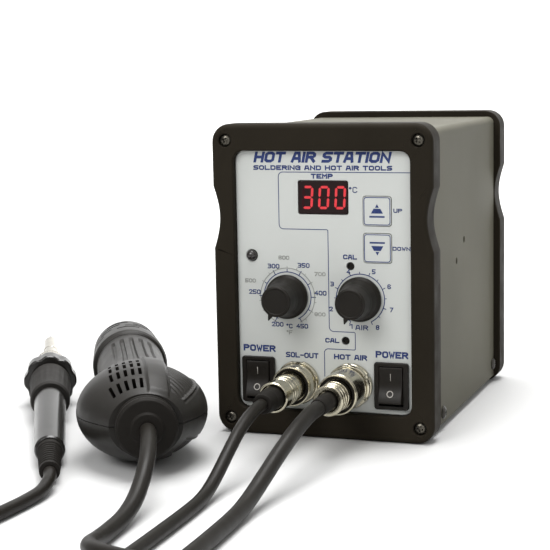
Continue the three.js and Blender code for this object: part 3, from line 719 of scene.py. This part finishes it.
# Each letter is drawn with strokes on a grid 4 wide and 6 high: "06 00 40" runs from the
# top left to the bottom left and on to the bottom right, a comma lifts the pen, and a
# stroke that comes back to its start is closed.
STROKES = {"A": "00 16 36 40,12 32", "C": "45 36 16 05 01 10 30 41", "D": "00 06 36 45 41 30 00",
    "E": "46 06 00 40,03 33", "F": "46 06 00,03 33", "G": "45 36 16 05 01 10 40 43 23",
    "H": "00 06,40 46,03 43", "I": "00 06", "L": "06 00 40", "M": "00 06 23 46 40", "N": "00 06 40 46",
    "O": "10 01 05 16 36 45 41 30 10", "P": "00 06,06 36 45 44 33 03", "R": "00 06,06 36 45 44 33 03,23 40",
    "S": "46 16 05 04 13 33 42 41 30 00", "T": "06 46,26 20", "U": "06 01 10 30 41 46", "W": "06 10 24 30 46",
    "-": "03 33", "°": "05 16 25 14 05", "0": "10 01 05 16 36 45 41 30 10", "1": "05 16 10",
    "2": "05 16 36 45 44 00 40", "3": "06 36 45 44 33 42 41 30 00,13 33", "4": "30 36 02,02 42",
    "5": "46 06 03 33 42 41 30 00", "6": "45 36 16 05 01 10 30 41 42 33,33 03", "7": "06 46 10",
    "8": "13 04 05 16 36 45 44 33,13 02 01 10 30 41 42 33,13 33"}


SPACE, LETTER_GAP, LETTER_HEIGHT = 3.2, 1.9, 6          # on the same grid


def lettering(text, x, z, width, height, weight=0.21):
    """Block letters centred on (x, z), fitted to a width and a height."""
    stroke, lines, pen = weight * height, [], 0.0
    for letter in text:
        if letter == " ":
            pen += SPACE
            continue
        paths = [[(float(p[0]), float(p[1])) for p in part.split()] for part in STROKES[letter].split(",")]
        lines += [[(pen + p, q) for p, q in path] for path in paths]
        pen += max(p for path in paths for p, _ in path) + LETTER_GAP
    pen -= LETTER_GAP
    sx, sz = (width - stroke) / max(pen, 1), (height - stroke) / LETTER_HEIGHT
    placed = [[(x + (p - pen / 2) * sx, z + (q - LETTER_HEIGHT / 2) * sz) for p, q in line] for line in lines]
    # Strokes that cross lie at slightly different depths, so that no two faces coincide.
    inked = []
    for i, line in enumerate(placed):
        deep = INK_Y - 0.004 * (i % 5)
        if line[0] == line[-1]:
            inked.append(ribbon(line[:-1], stroke, closed=True, y=deep))
        else:
            inked.append(ribbon(extended(line, stroke / 2), stroke, y=deep))
    return merge("ink", *inked)


def extended(line, reach):
    """A line made longer at both ends, so that its strokes end square."""
    p = np.array(line, float)
    first, last = p[0] - p[1], p[-1] - p[-2]
    p[0] += first / norm(first) * reach
    p[-1] += last / norm(last) * reach
    return p


def ribbon(points, width, closed=False, y=INK_Y):
    """A flat printed line along (x, z) points."""
    p = np.array(points, float)
    steps = (np.roll(p, -1, axis=0) - p) if closed else np.diff(p, axis=0)
    steps /= norm(steps, axis=1)[:, None]
    if closed:
        along = np.roll(steps, 1, axis=0) + steps
    else:
        along = np.r_[steps[:1], steps] + np.r_[steps, steps[-1:]]
    length = norm(along, axis=1)[:, None]
    along /= np.maximum(length, 1e-6)
    mitre = 1 / np.maximum(length / 2, 0.5)
    side = np.stack([-along[:, 1], along[:, 0]], 1) * width / 2 * mitre
    verts = [(x, y, z) for x, z in p + side] + [(x, y, z) for x, z in p - side]
    n, faces = len(p), []
    for i in range(n if closed else n - 1):
        j = (i + 1) % n
        faces.append([i, n + i, n + j, j])
    return build("ink", verts, faces)


def polygon(points, y):
    return build("ink", [(x, y, z) for x, z in points], [list(range(len(points)))])


def on_dial(x, z, angle, radius):
    """A point round a knob, with angle clockwise from straight up."""
    a = radians(angle)
    return x + radius * sin(a), z + radius * cos(a)


def print_piece(name, objects, material, body="station", slot="panel_print"):
    """Join flat inked shapes, face them forwards and give them the ink's thickness."""
    obj = merge(name, *objects)
    bm = bmesh.new()
    bm.from_mesh(obj.data)
    ops.recalc_face_normals(bm, faces=bm.faces)
    ops.reverse_faces(bm, faces=[f for f in bm.faces if f.normal.y > 0])
    into_mesh(bm, obj.data)
    layer = obj.modifiers.new("ink_layer", "SOLIDIFY")
    layer.thickness, layer.offset = INK * MM, -1
    finish_piece(obj, material, body=body, slot=slot)


LOW_MARK, HIGH_MARK = -156, 154      # both scales run between these angles
INNER, OUTER = 10.9, 12.6            # radii of the scales' rings, in blue and in grey
KNOB_X, KNOB_Z = centre("air_pot")[[0, 2]]


def ticks(x, z, angles, inner, outer, width=0.36):
    return [ribbon([on_dial(x, z, a, inner), on_dial(x, z, a, outer)], width) for a in angles]


def arc_line(x, z, radius, width):
    return ribbon([on_dial(x, z, a, radius) for a in range(LOW_MARK, HIGH_MARK + 1, 2)], width)


def temperature_scale():
    x, z = -KNOB_X, KNOB_Z
    blue, grey = [], []
    for value, east, north in ((200, -4.9, -12.6), (250, -15.4, 1.6), (300, -6.3, 13.3), (350, 7.7, 14.0),
            (400, 15.3, 2.0), (450, 6.6, -13.0)):
        blue.append(lettering(str(value), x + east, z + north, 5.5, 2.1))
    for value, east, north in ((500, -17.3, 6.6), (600, -1.4, 17.2), (700, 15.2, 10.4), (800, 14.9, -7.4)):
        grey.append(lettering(str(value), x + east, z + north, 5.1, 1.8, 0.24))
    blue += ticks(x, z, range(-120, 121, 60), INNER, 12.2)
    blue += ticks(x, z, (-152, -90, -30, 30, 90, 150), INNER, 13.2)
    blue += [arc_line(x, z, INNER, 0.42), lettering("°C", x + 0.6, z - 13.2, 3.0, 2.1, 0.2)]
    grey += [arc_line(x, z, OUTER, 0.4), lettering("°F", x + 0.6, z - 16.0, 2.8, 1.9, 0.2)]
    grey += ticks(x, z, range(-140, 141, 20), OUTER, 13.5, 0.3)
    return blue, grey


def air_scale():
    x, z = KNOB_X, KNOB_Z
    places = {1: (-160, 13.0), 2: (-110, 14.2), 3: (-64, 14.1), 4: (-24, 12.9), 5: (27, 13.6), 6: (66, 14.2),
        7: (107, 14.6), 8: (148, 14.4)}
    blue = [lettering(str(value), *on_dial(x, z, *place), 1.6, 2.1) for value, place in places.items()]
    step = (HIGH_MARK - LOW_MARK) / 14
    blue += ticks(x, z, [LOW_MARK + 2 * k * step for k in range(8)], INNER, 12.3)
    blue += ticks(x, z, [LOW_MARK + (2 * k + 1) * step for k in range(7)], INNER, 11.9, 0.3)
    return [*blue, arc_line(x, z, INNER, 0.42), lettering("AIR", x + 0.5, z - 12.6, 5.8, 2.2)]


def legends():
    words = (("TEMP", 0, 115.2, 10, 2.2, 0.28), ("°C", 14.0, 109.4, 3.8, 2.6, 0.16), ("UP", 33.8, 100.7, 3.9,
        1.8, 0.25), ("DOWN", 35.3, 84.4, 7.9, 1.7, 0.25), ("CAL", 12.3, 80.3, 6.3, 2.1, 0.26),
        ("CAL", 3.7, 43.3, 6.5, 2.1, 0.26), ("POWER", -30.4, 38.4, 15.2, 3.0, 0.26),
        ("POWER", 30.6, 38.1, 14.6, 3.0, 0.26), ("SOL-OUT", -10.4, 36.1, 15.2, 2.4, 0.24),
        ("HOT AIR", 11.9, 36.2, 15.1, 2.4, 0.26))
    return [lettering(*w) for w in words]


def routing_line():
    """The thin line that parts the hot air side of the panel from the iron's side."""
    corners = [(39.6, 116.9), (-20, 116.9), (-20, 92), (2.4, 92), (2.4, 47.3), (14.2, 47.3), (14.2, 39.5),
        (0, 39.5), (0, 27)]
    radii = (0, 2, 2, 0.6, 2, 0.6, 0.6, 1.8, 0)
    return ribbon(rounded([(x, z, r) for (x, z), r in zip(corners, radii)], 6), 0.35)


def title():
    """A bold title that leans to the right, with a smaller line under it."""
    heading, lean = lettering("HOT AIR STATION", 0, 123.4, 62, 4.8, 0.27), 0.22
    for v in heading.data.vertices:
        v.co.x += lean * (v.co.z - 123.3 * MM)
    return [heading, lettering("SOLDERING AND HOT AIR TOOLS", 0, 118.8, 63, 2.1, 0.28)]


temp_blue, temp_grey = temperature_scale()
print_piece("print_temperature_scale", temp_blue, BLUE)
print_piece("print_fahrenheit_scale", temp_grey, GREY)
print_piece("print_air_scale", air_scale(), BLUE)
print_piece("print_legends", legends(), BLUE)
print_piece("print_routing_line", [routing_line()], BLUE)
print_piece("print_title", title(), BLUE)


# ---- keys
def make_key(node, up):
    """A film key with a printed frame, a peak, a bar under it and a line."""
    cx, cz, w, h, y0, _ = facing(node)
    cap = plate(f"{node}_cap", round_rect(w, h, 1.3, cx, cz), y0, SKIN_Y + 1.6, bevel=0.18)
    finish_piece(cap, FILM, node)
    y, s = y0 - PROUD, 1 if up else -1
    frame_line = ribbon(round_rect(w - 0.9, h - 0.9, 1.1, cx, cz), 0.38, closed=True, y=y)
    peak = polygon([(cx - 0.85, cz + s * 1.5), (cx + 0.85, cz + s * 1.5), (cx, cz + s * 3.1)], y)
    body = polygon([(cx - 2.7, cz - s * 1.0), (cx + 2.7, cz - s * 1.0), (cx + 1.5, cz + s * 1.1),
        (cx - 1.5, cz + s * 1.1)], y)
    bar = ribbon([(cx - 3.4, cz - s * 2.4), (cx + 3.4, cz - s * 2.4)], 0.75, y=y)
    print_piece(f"{node}_print", [frame_line, peak, body, bar], BLUE, node, "key_film")


make_key("up_key", True)
make_key("down_key", False)


# ---- display
# Lit segments in the order top, upper right, lower right, bottom, lower left, upper left, middle.
LIT = {"3": (1, 1, 1, 1, 0, 0, 1), "0": (1, 1, 1, 1, 1, 1, 0)}


def make_display():
    cx, cz, w, h, y0, y1 = facing("display_window")
    window = plate("display_window_filter", round_rect(w, h, 0.9, cx, cz), y0, y1, bevel=0.25)
    finish_piece(window, FILTER, "display_window")
    w, h, thick, pitch, lean = 1.95, 4.5, 0.54, 7.4, 0.06
    lit, dim = [], []
    for place, character in enumerate("300"):
        ox = cx + 0.5 + (place - 1) * pitch

        def bar(ax, az, bx, bz):
            """A six-sided segment between two ends, leaning a little as the digits do."""
            a, b = np.array((ax, az), float), np.array((bx, bz), float)
            along = (b - a) / norm(b - a)
            side = np.array((-along[1], along[0])) * thick
            a, b = a + along * 0.2, b - along * 0.2
            shape = [a, a + along * thick - side, b - along * thick - side, b, b - along * thick + side,
                a + along * thick + side]
            return polygon([(ox + p + lean * q, cz + q) for p, q in shape], y0 - PROUD)

        ends = ((-w, h, w, h), (w, h, w, 0), (w, 0, w, -h), (w, -h, -w, -h), (-w, -h, -w, 0), (-w, 0, -w, h),
            (-w, 0, w, 0))
        for on, end in zip(LIT[character], ends):
            (lit if on else dim).append(bar(*end))
    print_piece("display_digits_lit", lit, LED, slot="display_filter")
    print_piece("display_segments_unlit", dim, DIM, slot="display_filter")


make_display()


# ---- lamp
def make_lamp():
    x, z, w, _, y0, y1 = facing("lamp")
    r = w / 2
    dome = [(r * sin(radians(a)), y0 + r - r * cos(radians(a))) for a in range(0, 91, 9)]
    lens = turned("lamp_lens", [*dome, (r, y1), (0, y1)], at(x, 0, z), 48)
    finish_piece(lens, LENS_RED, "lamp")


make_lamp()


# ---- knobs
def make_knob(node, pointer_angle):
    low, high = span(node)
    foot, top = high[1], low[1] + 0.3
    x = KNOB_X if low[0] > 0 else -KNOB_X
    height = foot - top
    profile = [(0, foot - 2), (3.4, foot - 2), (3.4, foot), (9.5, foot, 0.3), (9.8, foot - 0.4, 0.3),
        (9.8, foot - 1.5, 0.6), (9.0, foot - 2.4, 0.6), (8.5, foot - 3.4, 2), (7.5, foot - 6.8, 3),
        (7.15, foot - 9, 2), (6.75, foot - height + 0.7, 0.3), (6.6, foot - height + 0.4, 0.2),
        (6.1, top, 0.4), (5.6, top, 0.2), (5.4, top + 0.25, 0.2), (0, top + 0.2)]
    body = turned("knob", profile, at(x, 0, KNOB_Z), 128)
    outline = [(-0.9, 5.7), (0.9, 5.7), (1.1, 6.4), (0.2, 9.0), (-0.2, 9.0), (-1.1, 6.4)]
    bm, moved = prism([(p, top - 0.15, q) for p, q in outline], (0, 3.4, 0))
    for v in moved:
        v.co.z -= 0.9 if v.co.z > 6 else 0
    bm.normal_update()
    ops.bevel(bm, geom=bm.edges[:], offset=0.16, segments=2, affect="EDGES")
    pointer = from_bmesh("pointer", bm, at(x, 0, KNOB_Z) @ spin("Y", radians(pointer_angle)))
    knob = carve(body, pointer, operation="UNION")
    knob.name = f"{node}_moulding"
    finish_piece(knob, KNOB, node)


make_knob("temp_knob", -158)
make_knob("air_knob", -164)


# ---- rocker switches
ROCKER = 5.2, 7.9, 4.2, 3.1, 1.5      # half width, half height, rise at the ends and middle, depth
TIPPED = -9.5                    # degrees at rest, with the upper half pressed in


def make_switch(name):
    body, rocker = f"{name}_switch_body", f"{name}_rocker"
    cx, cz, w, h, y0, y1 = facing(body)
    rim = plate("rim", round_rect(w, h, 1.3, cx, cz), y0, SKIN_Y - GAP + 0.02, bevel=0.45)
    box = plate("box", round_rect(w - 2.8, h - 2.6, 0.5, cx, cz), SKIN_Y - GAP - 0.3, y1, 0.2)
    well = block("tool", (cx - 5.5, y0 - 2, cz - 8.75), (cx + 5.5, SKIN_Y + 4, cz + 8.75))
    whole = carve(carve(rim, box, operation="UNION"), well)
    whole.name = f"{name}_switch_housing"
    finish_piece(whole, SWITCH, body)

    pivot = next(Vector(j["pos_m"]) for j in frame["joints"] if j["name"] == f"{rocker}_tip") / MM
    place = at(*pivot) @ spin("X", radians(TIPPED))
    w, half, tip, dip, back = ROCKER

    def face_y(z):
        return -tip + (tip - dip) * cos(pi / 2 * z / half) ** 2

    curve = [(face_y(t), t) for t in np.linspace(-half, half, 17)]
    bm, _ = prism([(-w, y, z) for y, z in [(back, -half), *curve, (back, half)]], (2 * w, 0, 0))
    rim = [e for e in bm.edges if len(e.link_faces) == 2 and e.calc_face_angle(0) > radians(40)]
    ops.bevel(bm, geom=rim, offset=0.35, segments=3, affect="EDGES", profile=0.5)
    finish_piece(from_bmesh(f"{rocker}_paddle", bm, place), SWITCH, rocker)

    def mark(points, faces):
        return build("ink", [(p, face_y(q) - PROUD, q) for p, q in points], faces, place)

    one = mark([(-0.13, 2.1), (0.13, 2.1), (0.13, 5.2), (-0.13, 5.2)], [[0, 1, 2, 3]])
    n = 32
    ring = [(r * cos(2 * pi * k / n), -3.6 + r * sin(2 * pi * k / n)) for r in (1.1, 1.5) for k in range(n)]
    circle = mark(ring, quads(n, 2))
    print_piece(f"{rocker}_marks", [one, circle], WHITE, rocker, "switch_plastic")


make_switch("iron")
make_switch("air")


# ---- connectors
PLUG_END, SHELL = -37, 6.6
CONNECTORS = dict(iron=dict(side=-1, nut=2.2, notches=2, notch=0.45, ring=-14, shell=8.5, boot=(4.9, 4.3)),
    air=dict(side=1, nut=5.5, notches=6, notch=0.7, ring=-25, shell=3.2, boot=(3.9, 3.7)))


def make_socket(name, place, nut, notches, notch, ring, **_):
    """A flanged nut on the panel, with notches or flats, and the smooth sleeve that the ring turns on."""
    f = SKIN_Y - GAP
    face, end = f - nut, ring + 4.9

    def shape(a, r, _):
        return r - notch * smoothstep((cos(notches * a) - 0.86) / 0.08) if r > 9 else r

    edge = [(9.75, face + 0.5, 0.2)]
    if nut > 4:          # the taller nut has a groove round it
        edge = [(9.75, face + 0.5, 0.3), (9.75, face + 2.0), (9.3, face + 2.2), (9.3, face + 2.9),
            (9.8, face + 3.1, 0.1)]
    edge.append((9.8, f - 0.3, 0.1))
    profile = [(0, f - 3.2), (5.9, f - 3.2), (5.9, end, 0.2), (7.1, end, 0.2), (7.1, face), (8.9, face, 0.3),
        (9.3, face + 0.1, 0.2), *edge, (9.6, f), (6.2, f), (6.2, 12), (0, 12)]
    finish_piece(turned(f"{name}_socket_body", profile, place, 192, shape), NICKEL, f"{name}_socket")


def make_coupling_nut(name, place, nut, ring, **_):
    """A smooth ring with a plain groove and a thin rim round its recessed end."""
    f, lip = SKIN_Y - nut - 0.7, SHELL + GAP
    profile = [(7.5, f, 0.1), (8.4, f, 0.3), (8.8, f - 0.5, 0.2), (8.8, f - 1.5, 0.1), (8.5, f - 1.75, 0.1),
        (8.5, f - 2.3, 0.1), (8.8, f - 2.55, 0.1), (8.8, ring + 1.7, 0.1), (8.6, ring + 1.5, 0.1),
        (8.6, ring + 1.1, 0.1), (8.8, ring + 0.9, 0.1), (8.8, ring + 0.3, 0.25), (8.45, ring, 0.2),
        (8.1, ring, 0.1), (8.1, ring + 1.2), (lip, ring + 1.2, 0.1), (lip, ring + 2.7), (7.5, ring + 2.7),
        (7.5, f)]
    body = f"{name}_coupling_ring"
    finish_piece(turned(f"{name}_coupling_nut", profile, place, 128), NICKEL, body)
    # A black rubber ring in the recess: painted shade, a dark piece that stands in for the shadow of the gap
    # between the rim and the plug.
    shade_profile = [(lip, ring + 1.15), (lip, ring + 0.55, 0.1), (8.05, ring + 0.55, 0.1), (8.05, ring + 1.15),
        (lip, ring + 1.15)]
    finish_piece(turned(f"{name}_coupling_painted_shade_ring", shade_profile, place, 96), RUBBER, body=body, slot="nickel")


def make_plug(name, place, ring, shell, boot, **_):
    """The plug's shell in stepped rings, and the boot that stands in the bore at its end."""
    f, bore, lug = SKIN_Y - 3.8, boot[0] + GAP, PLUG_END + 4
    y = ring - shell
    steps = [(SHELL, y, 0.3)]
    for width, radius in ((0.7, 6.15), (2.0, 6.5), (0.6, 5.95), (1.7, 6.4), (0.6, 5.9)):
        steps += [(radius, y - 0.1, 0.08), (radius, y - width, 0.08)]
        y -= width + 0.1
    profile = [(0, f), (5.6, f), (5.6, ring + 4.6), (7.1, ring + 4.6), (7.1, ring + 3), (SHELL, ring + 3),
        *steps, (6.45, y - 0.2, 0.15), (6.6, PLUG_END + 0.5, 0.3), (6.2, PLUG_END, 0.25),
        (bore + 0.5, PLUG_END, 0.2), (bore, PLUG_END + 0.6, 0.2), (bore, lug), (0, lug)]
    finish_piece(turned(f"{name}_plug_backshell", profile, place, 128), NICKEL, f"{name}_plug_shell")
    thick, thin = boot
    sleeve = [(0, lug - GAP), (thick, lug - GAP), (thick, BOOT_END + 6.5, 2), (thin, BOOT_END + 1.4, 0.5),
        (thin - 0.1, BOOT_END + 0.2, 0.4), (thin - 1, BOOT_END, 0.1), (0, BOOT_END)]
    finish_piece(turned(f"{name}_plug_sleeve", sleeve, place, 64), RUBBER, f"{name}_plug_boot")


for name, parts in CONNECTORS.items():
    place = at(parts["side"] * centre("air_socket")[0], 0, centre("air_socket")[2])
    for make in (make_socket, make_coupling_nut, make_plug):
        make(name, place, **parts)


# ---- soldering iron
def make_iron():
    boot = [(0, 0), (2.9, 0, 0.2), (4.2, 0.3, 0.3)]
    for k in range(9):
        y, r = 1.6 + 2.5 * k, 4.25 + 0.1 * k
        boot += [(r, y, 0.2), (r, y + 1.0, 0.2), (r - 0.75, y + 1.25, 0.15), (r - 0.75, y + 2.1, 0.15)]
    boot += [(5.3, 24.4, 0.4), (5.4, 27.4, 0.2), (0, 27.4)]
    finish_piece(turned("iron_boot_ribbed", boot, IRON, 56), RUBBER, "iron_boot")

    def lobed(a, r, y):
        """The flange has eight shallow hollows."""
        return r - (0.5 - 0.5 * cos(8 * a)) ** 2 if 140.6 < y < 151 else r

    handle = [(0, 27.7), (5.8, 27.7, 0.4), (6.4, 29, 0.6), (6.5, 40), (6.8, 60), (7.1, 85), (7.3, 103, 0.5),
        (6.6, 104.4), (6.6, 140.4), (12.1, 140.7, 0.4), (12.7, 141.6, 0.4), (12.7, 143), (12.7, 145),
        (12.7, 148.6, 0.8), (11.6, 151.2, 0.8), (11.0, 153.4, 0.6), (9.4, 158, 2), (8.5, 162, 1),
        (8.3, 166.3, 0.3), (0, 166.4)]
    finish_piece(turned("iron_handle_moulding", handle, IRON, 96, lobed), GLOSS, "iron_handle")

    def pebbled(a, r, y):
        """Low ribs along the sleeve, between its plain ends."""
        fade = max(0, min(1, (y - 109) / 3, (134 - y) / 3))
        return r - 0.22 * fade * (0.5 + 0.5 * cos(20 * a)) if r > 8.5 else r

    grip = [(6.9, 104.8), (8.6, 104.8, 0.6), (9.2, 106.5, 0.6), *[(9.2 + 0.5 * k / 12, 108 + 27 * k / 12)
        for k in range(13)], (9.8, 137.5, 0.6), (9.3, 139.9, 0.6), (6.9, 140), (6.9, 104.8)]
    finish_piece(turned("iron_grip_sleeve", grip, IRON, 120, pebbled), GRIP, "iron_grip")

    def nut_knurl(a, r, y):
        return r - 0.3 * (0.5 + 0.5 * cos(36 * a)) if r > 7.2 and 167.6 < y < 172.6 else r

    nut = [(4.3, 166.7), (7.4, 166.7, 0.2), (7.7, 167.3, 0.2), (7.7, 167.7), (7.7, 172.5), (7.7, 173.2, 0.4),
        (6.4, 175.2, 0.5), (5.6, 176.3, 0.3), (3.8, 176.3), (3.8, 174), (4.3, 174), (4.3, 166.7)]
    finish_piece(turned("iron_nut_knurled", nut, IRON, 144, nut_knurl), STEEL, "iron_nut")

    barrel = [(0, 167), (4, 167), (4, 173.6), (3.45, 173.7), (3.45, 200, 0.1), (3.6, 200.3, 0.1),
        (3.6, 201.2, 0.1), (3.45, 201.5, 0.1), (3.45, 221.4, 0.6), (2.9, 223.3, 0.2), (2.3, 223.3),
        (2.3, 214), (0, 214)]
    finish_piece(turned("iron_barrel_tube", barrel, IRON, 64), STEEL, "iron_barrel")

    tip = [(0, 214.3), (2, 214.3), (2, 223.6, 0.3), (1.75, 225.6, 0.4), (1.1, 232, 3), (0.5, 238, 1),
        (0.25, 239.7, 0.2), (0, 240)]
    finish_piece(turned("iron_tip_conical", tip, IRON, 48), TIP, "iron_tip")


make_iron()


# ---- hot air gun
# Body sections: place along the axis, half width, half thickness.
GUN_BODY = [(9, 15, 13), (14, 18.5, 15), (22, 23.5, 18), (30, 26.6, 19.6), (38, 27.6, 20), (46, 27, 19.8),
    (54, 25, 18.9), (62, 22.2, 17.7), (70, 19.6, 16.6), (80, 17.6, 15.9), (92, 16.5, 15.6), (112, 16, 15.6),
    (141, 16.3, 16.3)]


def gun_half(y, column):
    """Half width (1) or half thickness (2) of the body at a place along its axis."""
    rows = np.array(GUN_BODY)
    path = smooth_path([(a, b, 0) for a, b in rows[:, (0, column)]], 0.5)
    return np.interp(y, path[:, 0], path[:, 1])


def make_gun_shells():
    """Two shells that meet in the middle: fluted along the handle, with a spine, a vented
    side and a ribbed round lobe on the blower housing."""
    ys = np.r_[np.linspace(9, 64, 112), np.linspace(64.6, 141, 96)]
    wide, thick = gun_half(ys, 1), gun_half(ys, 2)
    around = 180
    for sign, name, node in ((1, "gun_shell_upper", "gun_shell_top"),
            (-1, "gun_shell_lower", "gun_shell_bottom")):
        verts, faces = [], []
        for y, w, h in zip(ys, wide, thick):
            for i in range(around + 1):
                a = pi * i / around
                x, z = w * cos(a), h * sin(a)
                x, z = gun_relief(x, y, z, w, a, spine=sign == 1)
                verts.append((x, y, sign * max(z, GAP / 2)))
        n = around + 1
        for j in range(len(ys) - 1):
            faces += [[j * n + i, j * n + i + 1, (j + 1) * n + i + 1, (j + 1) * n + i] for i in range(around)]
            faces.append([j * n, (j + 1) * n, (j + 1) * n + around, j * n + around])
        faces += [list(range(n)), [(len(ys) - 1) * n + i for i in range(n)]]
        obj = build(name, verts, faces, GUN, sharp=50)
        if sign == 1:
            carve(obj, *vents())
        finish_piece(obj, HANDLE, node)


SPINE_X = 5.5                    # the spine runs right of the middle, seen from above


def gun_relief(x, y, z, w, a, spine):
    """Surface detail on the shells, as a change of radius: handle flutes, spine and side panel."""
    change = 0.0
    flutes = smoothstep((y - 70) / 4) * smoothstep((133 - y) / 5) * smoothstep((10.5 - abs(x)) / 1.5)
    change -= 1.1 * flutes * smoothstep((cos(22 * (a - pi / 2)) + 0.1) / 0.7)
    blower = smoothstep((74 - y) / 12) * smoothstep((y - 9) / 3)
    if spine:
        change += 1.2 * blower * smoothstep((4.6 - abs(x - SPINE_X)) / 1.2)
    # The panel right of the spine: sunk inside a rim, narrowing towards the handle, with ribs.
    length, rim = smoothstep((y - 14) / 1.5) * smoothstep((78 - y) / 3), 0.84 * w
    panel = smoothstep((x - SPINE_X - 5.2) / 0.7) * smoothstep((rim - x) / 0.8) * length
    ribs = smoothstep((55 - y) / 12) * (0.5 + 0.5 * cos(2 * pi * (y + 0.8 * x) / 3.4))
    change -= panel * (1.3 - 0.45 * ribs)
    change -= 0.6 * smoothstep(1 - abs(x - rim - 0.6) / 0.6) * length
    scale = 1 + change / max(1e-6, hypot(x, z))
    return x * scale, z * scale


def vents():
    """Long slots beside the spine, in four rows of five."""
    tools = []
    for y in (16.8, 27, 37, 47):
        for column in range(5):
            x = -0.9 - column * 3.0
            w, h = float(gun_half(y, 1)), float(gun_half(y, 2))
            top = h * sqrt(1 - (x / w) ** 2)
            slope = atan2(float(gun_half(y + 4, 2) - gun_half(y - 4, 2)), 8)
            lean = atan2(x * h * h, w * w * top)
            place = GUN @ at(x, y, top) @ spin("Y", lean) @ spin("X", slope)
            tools.append(block("tool", (-0.72, -3.7, -7), (0.72, 3.7, 3), place, bevel=0.3, segments=2))
    return tools


def make_gun():
    make_gun_shells()
    boot = [(0, 0), (4.2, 0, 0.3), (6.2, 0.2, 0.5), (7.0, 1.2, 0.6), (11.6, 1.8, 0.8), (12.6, 3.0, 0.8),
        (12.6, 5.2, 0.3), (12.1, 5.6, 0.2), (12.1, 6.3, 0.2), (12.6, 6.7, 0.3), (12.6, 8.7, 0.2), (0, 8.7)]
    finish_piece(turned("gun_boot_collar", boot, GUN, 96), RUBBER, "gun_boot")
    collar = [(0, 141.3), (16.4, 141.3, 0.4), (17.4, 142.2, 0.6), (18.1, 144, 1), (18.1, 150), (17.8, 158),
        (17.3, 168), (17.0, 176), (16.8, 181, 0.8), (15.2, 183.4, 0.8), (11.6, 183.5, 0.3), (11.4, 182.6),
        (0, 182.6)]
    obj = turned("gun_collar_moulding", collar, GUN, 120)
    tools = []
    for row in range(4):
        for k in range(6):
            place = GUN @ spin("Y", pi * (k / 3 + 0.08 * row)) @ at(0, 155.5 + row * 6.7, 0)
            tools.append(block("tool", (-5.6, -1.3, 14.6), (5.6, 1.3, 21), place, bevel=0.5, segments=2))
    carve(obj, *tools)
    finish_piece(obj, HANDLE, "gun_collar")
    tube = [(0, 183.8), (11.2, 183.8), (11.2, 209.6, 0.1), (10.95, 209.8, 0.1), (10.95, 210.3, 0.1),
        (11.2, 210.5, 0.1), (11.2, 211, 0.15), (10.3, 211, 0.15), (10.3, 190), (0, 190)]
    finish_piece(turned("gun_tube_steel", tube, GUN, 96), STEEL, "gun_tube")
    nozzle = [(8.9, 190.3), (9.8, 190.3), (9.8, 212.4), (9.6, 212.6), (9.6, 219.5, 0.2), (9.4, 220, 0.2),
        (8.9, 220, 0.15), (8.9, 190.3)]
    finish_piece(turned("gun_nozzle_sleeve", nozzle, GUN, 96), STEEL, "gun_nozzle")


make_gun()


# ---- stage
def make_floor():
    """A pale floor that sweeps up into a wall far behind the object, and glows there."""
    material, tree, shader = node_tree("pale_floor")
    reach = add(tree, "VectorMath", {0: add(tree, "TexCoord").outputs["Object"]}, operation="LENGTH")
    glow = add(tree, "MapRange", {"Value": reach.outputs["Value"], "From Min": 0.3, "From Max": 1.7,
        "To Max": 0.62}, interpolation_type="SMOOTHSTEP")
    feed(shader, {"Emission Strength": glow, "Emission Color": (1, 1, 1, 1), "Base Color": (0.5, 0.5, 0.497,
        1), "Roughness": 0.8, "Specular IOR Level": 0.1})
    half, wall, bend = 4, 2.2, 0.9
    line = [(-half, 0), (wall, 0)]
    line += [(wall + bend * sin(t), bend - bend * cos(t)) for t in np.linspace(0, pi / 2, 25)[1:]]
    line.append((wall + bend, 3.5))
    verts = [(x, y, z - 0.0002) for y, z in line for x in (-half, half)]
    faces = [[2 * i, 2 * i + 1, 2 * i + 3, 2 * i + 2] for i in range(len(line) - 1)]
    mesh = bpy.data.meshes.new("floor")
    mesh.from_pydata(verts, [], faces)
    mesh.polygons.foreach_set("use_smooth", [True] * len(mesh.polygons))
    mesh.materials.append(material)
    show("floor", mesh)


def make_world():
    """Soft light from above that fades to grey towards the horizon, seen as plain white."""
    world = bpy.data.worlds.new("studio")
    world.use_nodes = True
    tree, white = world.node_tree, (1, 1, 1)
    sky = add(tree, "SeparateXYZ", {"Vector": add(tree, "TexCoord").outputs["Generated"]})
    shade = ramp(tree, sky.outputs["Z"], (0.16, 0.16, 0.16), white, 0.02, 0.75)
    feed(tree.nodes["Background"], {"Color": shade, "Strength": 0.9})
    plain = add(tree, "Background", {"Color": (*white, 1)})
    mix = add(tree, "MixShader", {"Fac": add(tree, "LightPath").outputs["Is Camera Ray"],
        1: tree.nodes["Background"], 2: plain})
    feed(tree.nodes["World Output"], {"Surface": mix})
    bpy.context.scene.world = world
    bpy.context.scene.view_settings.view_transform = "Standard"


def area_light(name, place, target, size, power):
    data = bpy.data.lights.new(name, "AREA")
    data.shape, data.size, data.energy = "DISK", size, power
    obj = show(name, data)
    obj.location = place
    obj.rotation_mode = "QUATERNION"
    obj.rotation_quaternion = (Vector(target) - Vector(place)).to_track_quat("-Z", "Y")


MIDDLE = (0, 0.05, 0.06)
make_floor()
make_world()
area_light("key", (-0.5, -1.5, 1.3), MIDDLE, 1.0, 21)
area_light("fill", (1.0, -1.6, 0.7), MIDDLE, 0.9, 3)
area_light("top", (0, 0.2, 1.7), MIDDLE, 1.2, 46)
area_light("backdrop", (0, 1.2, 1.9), (0, 2.9, 0.5), 1.2, 60)
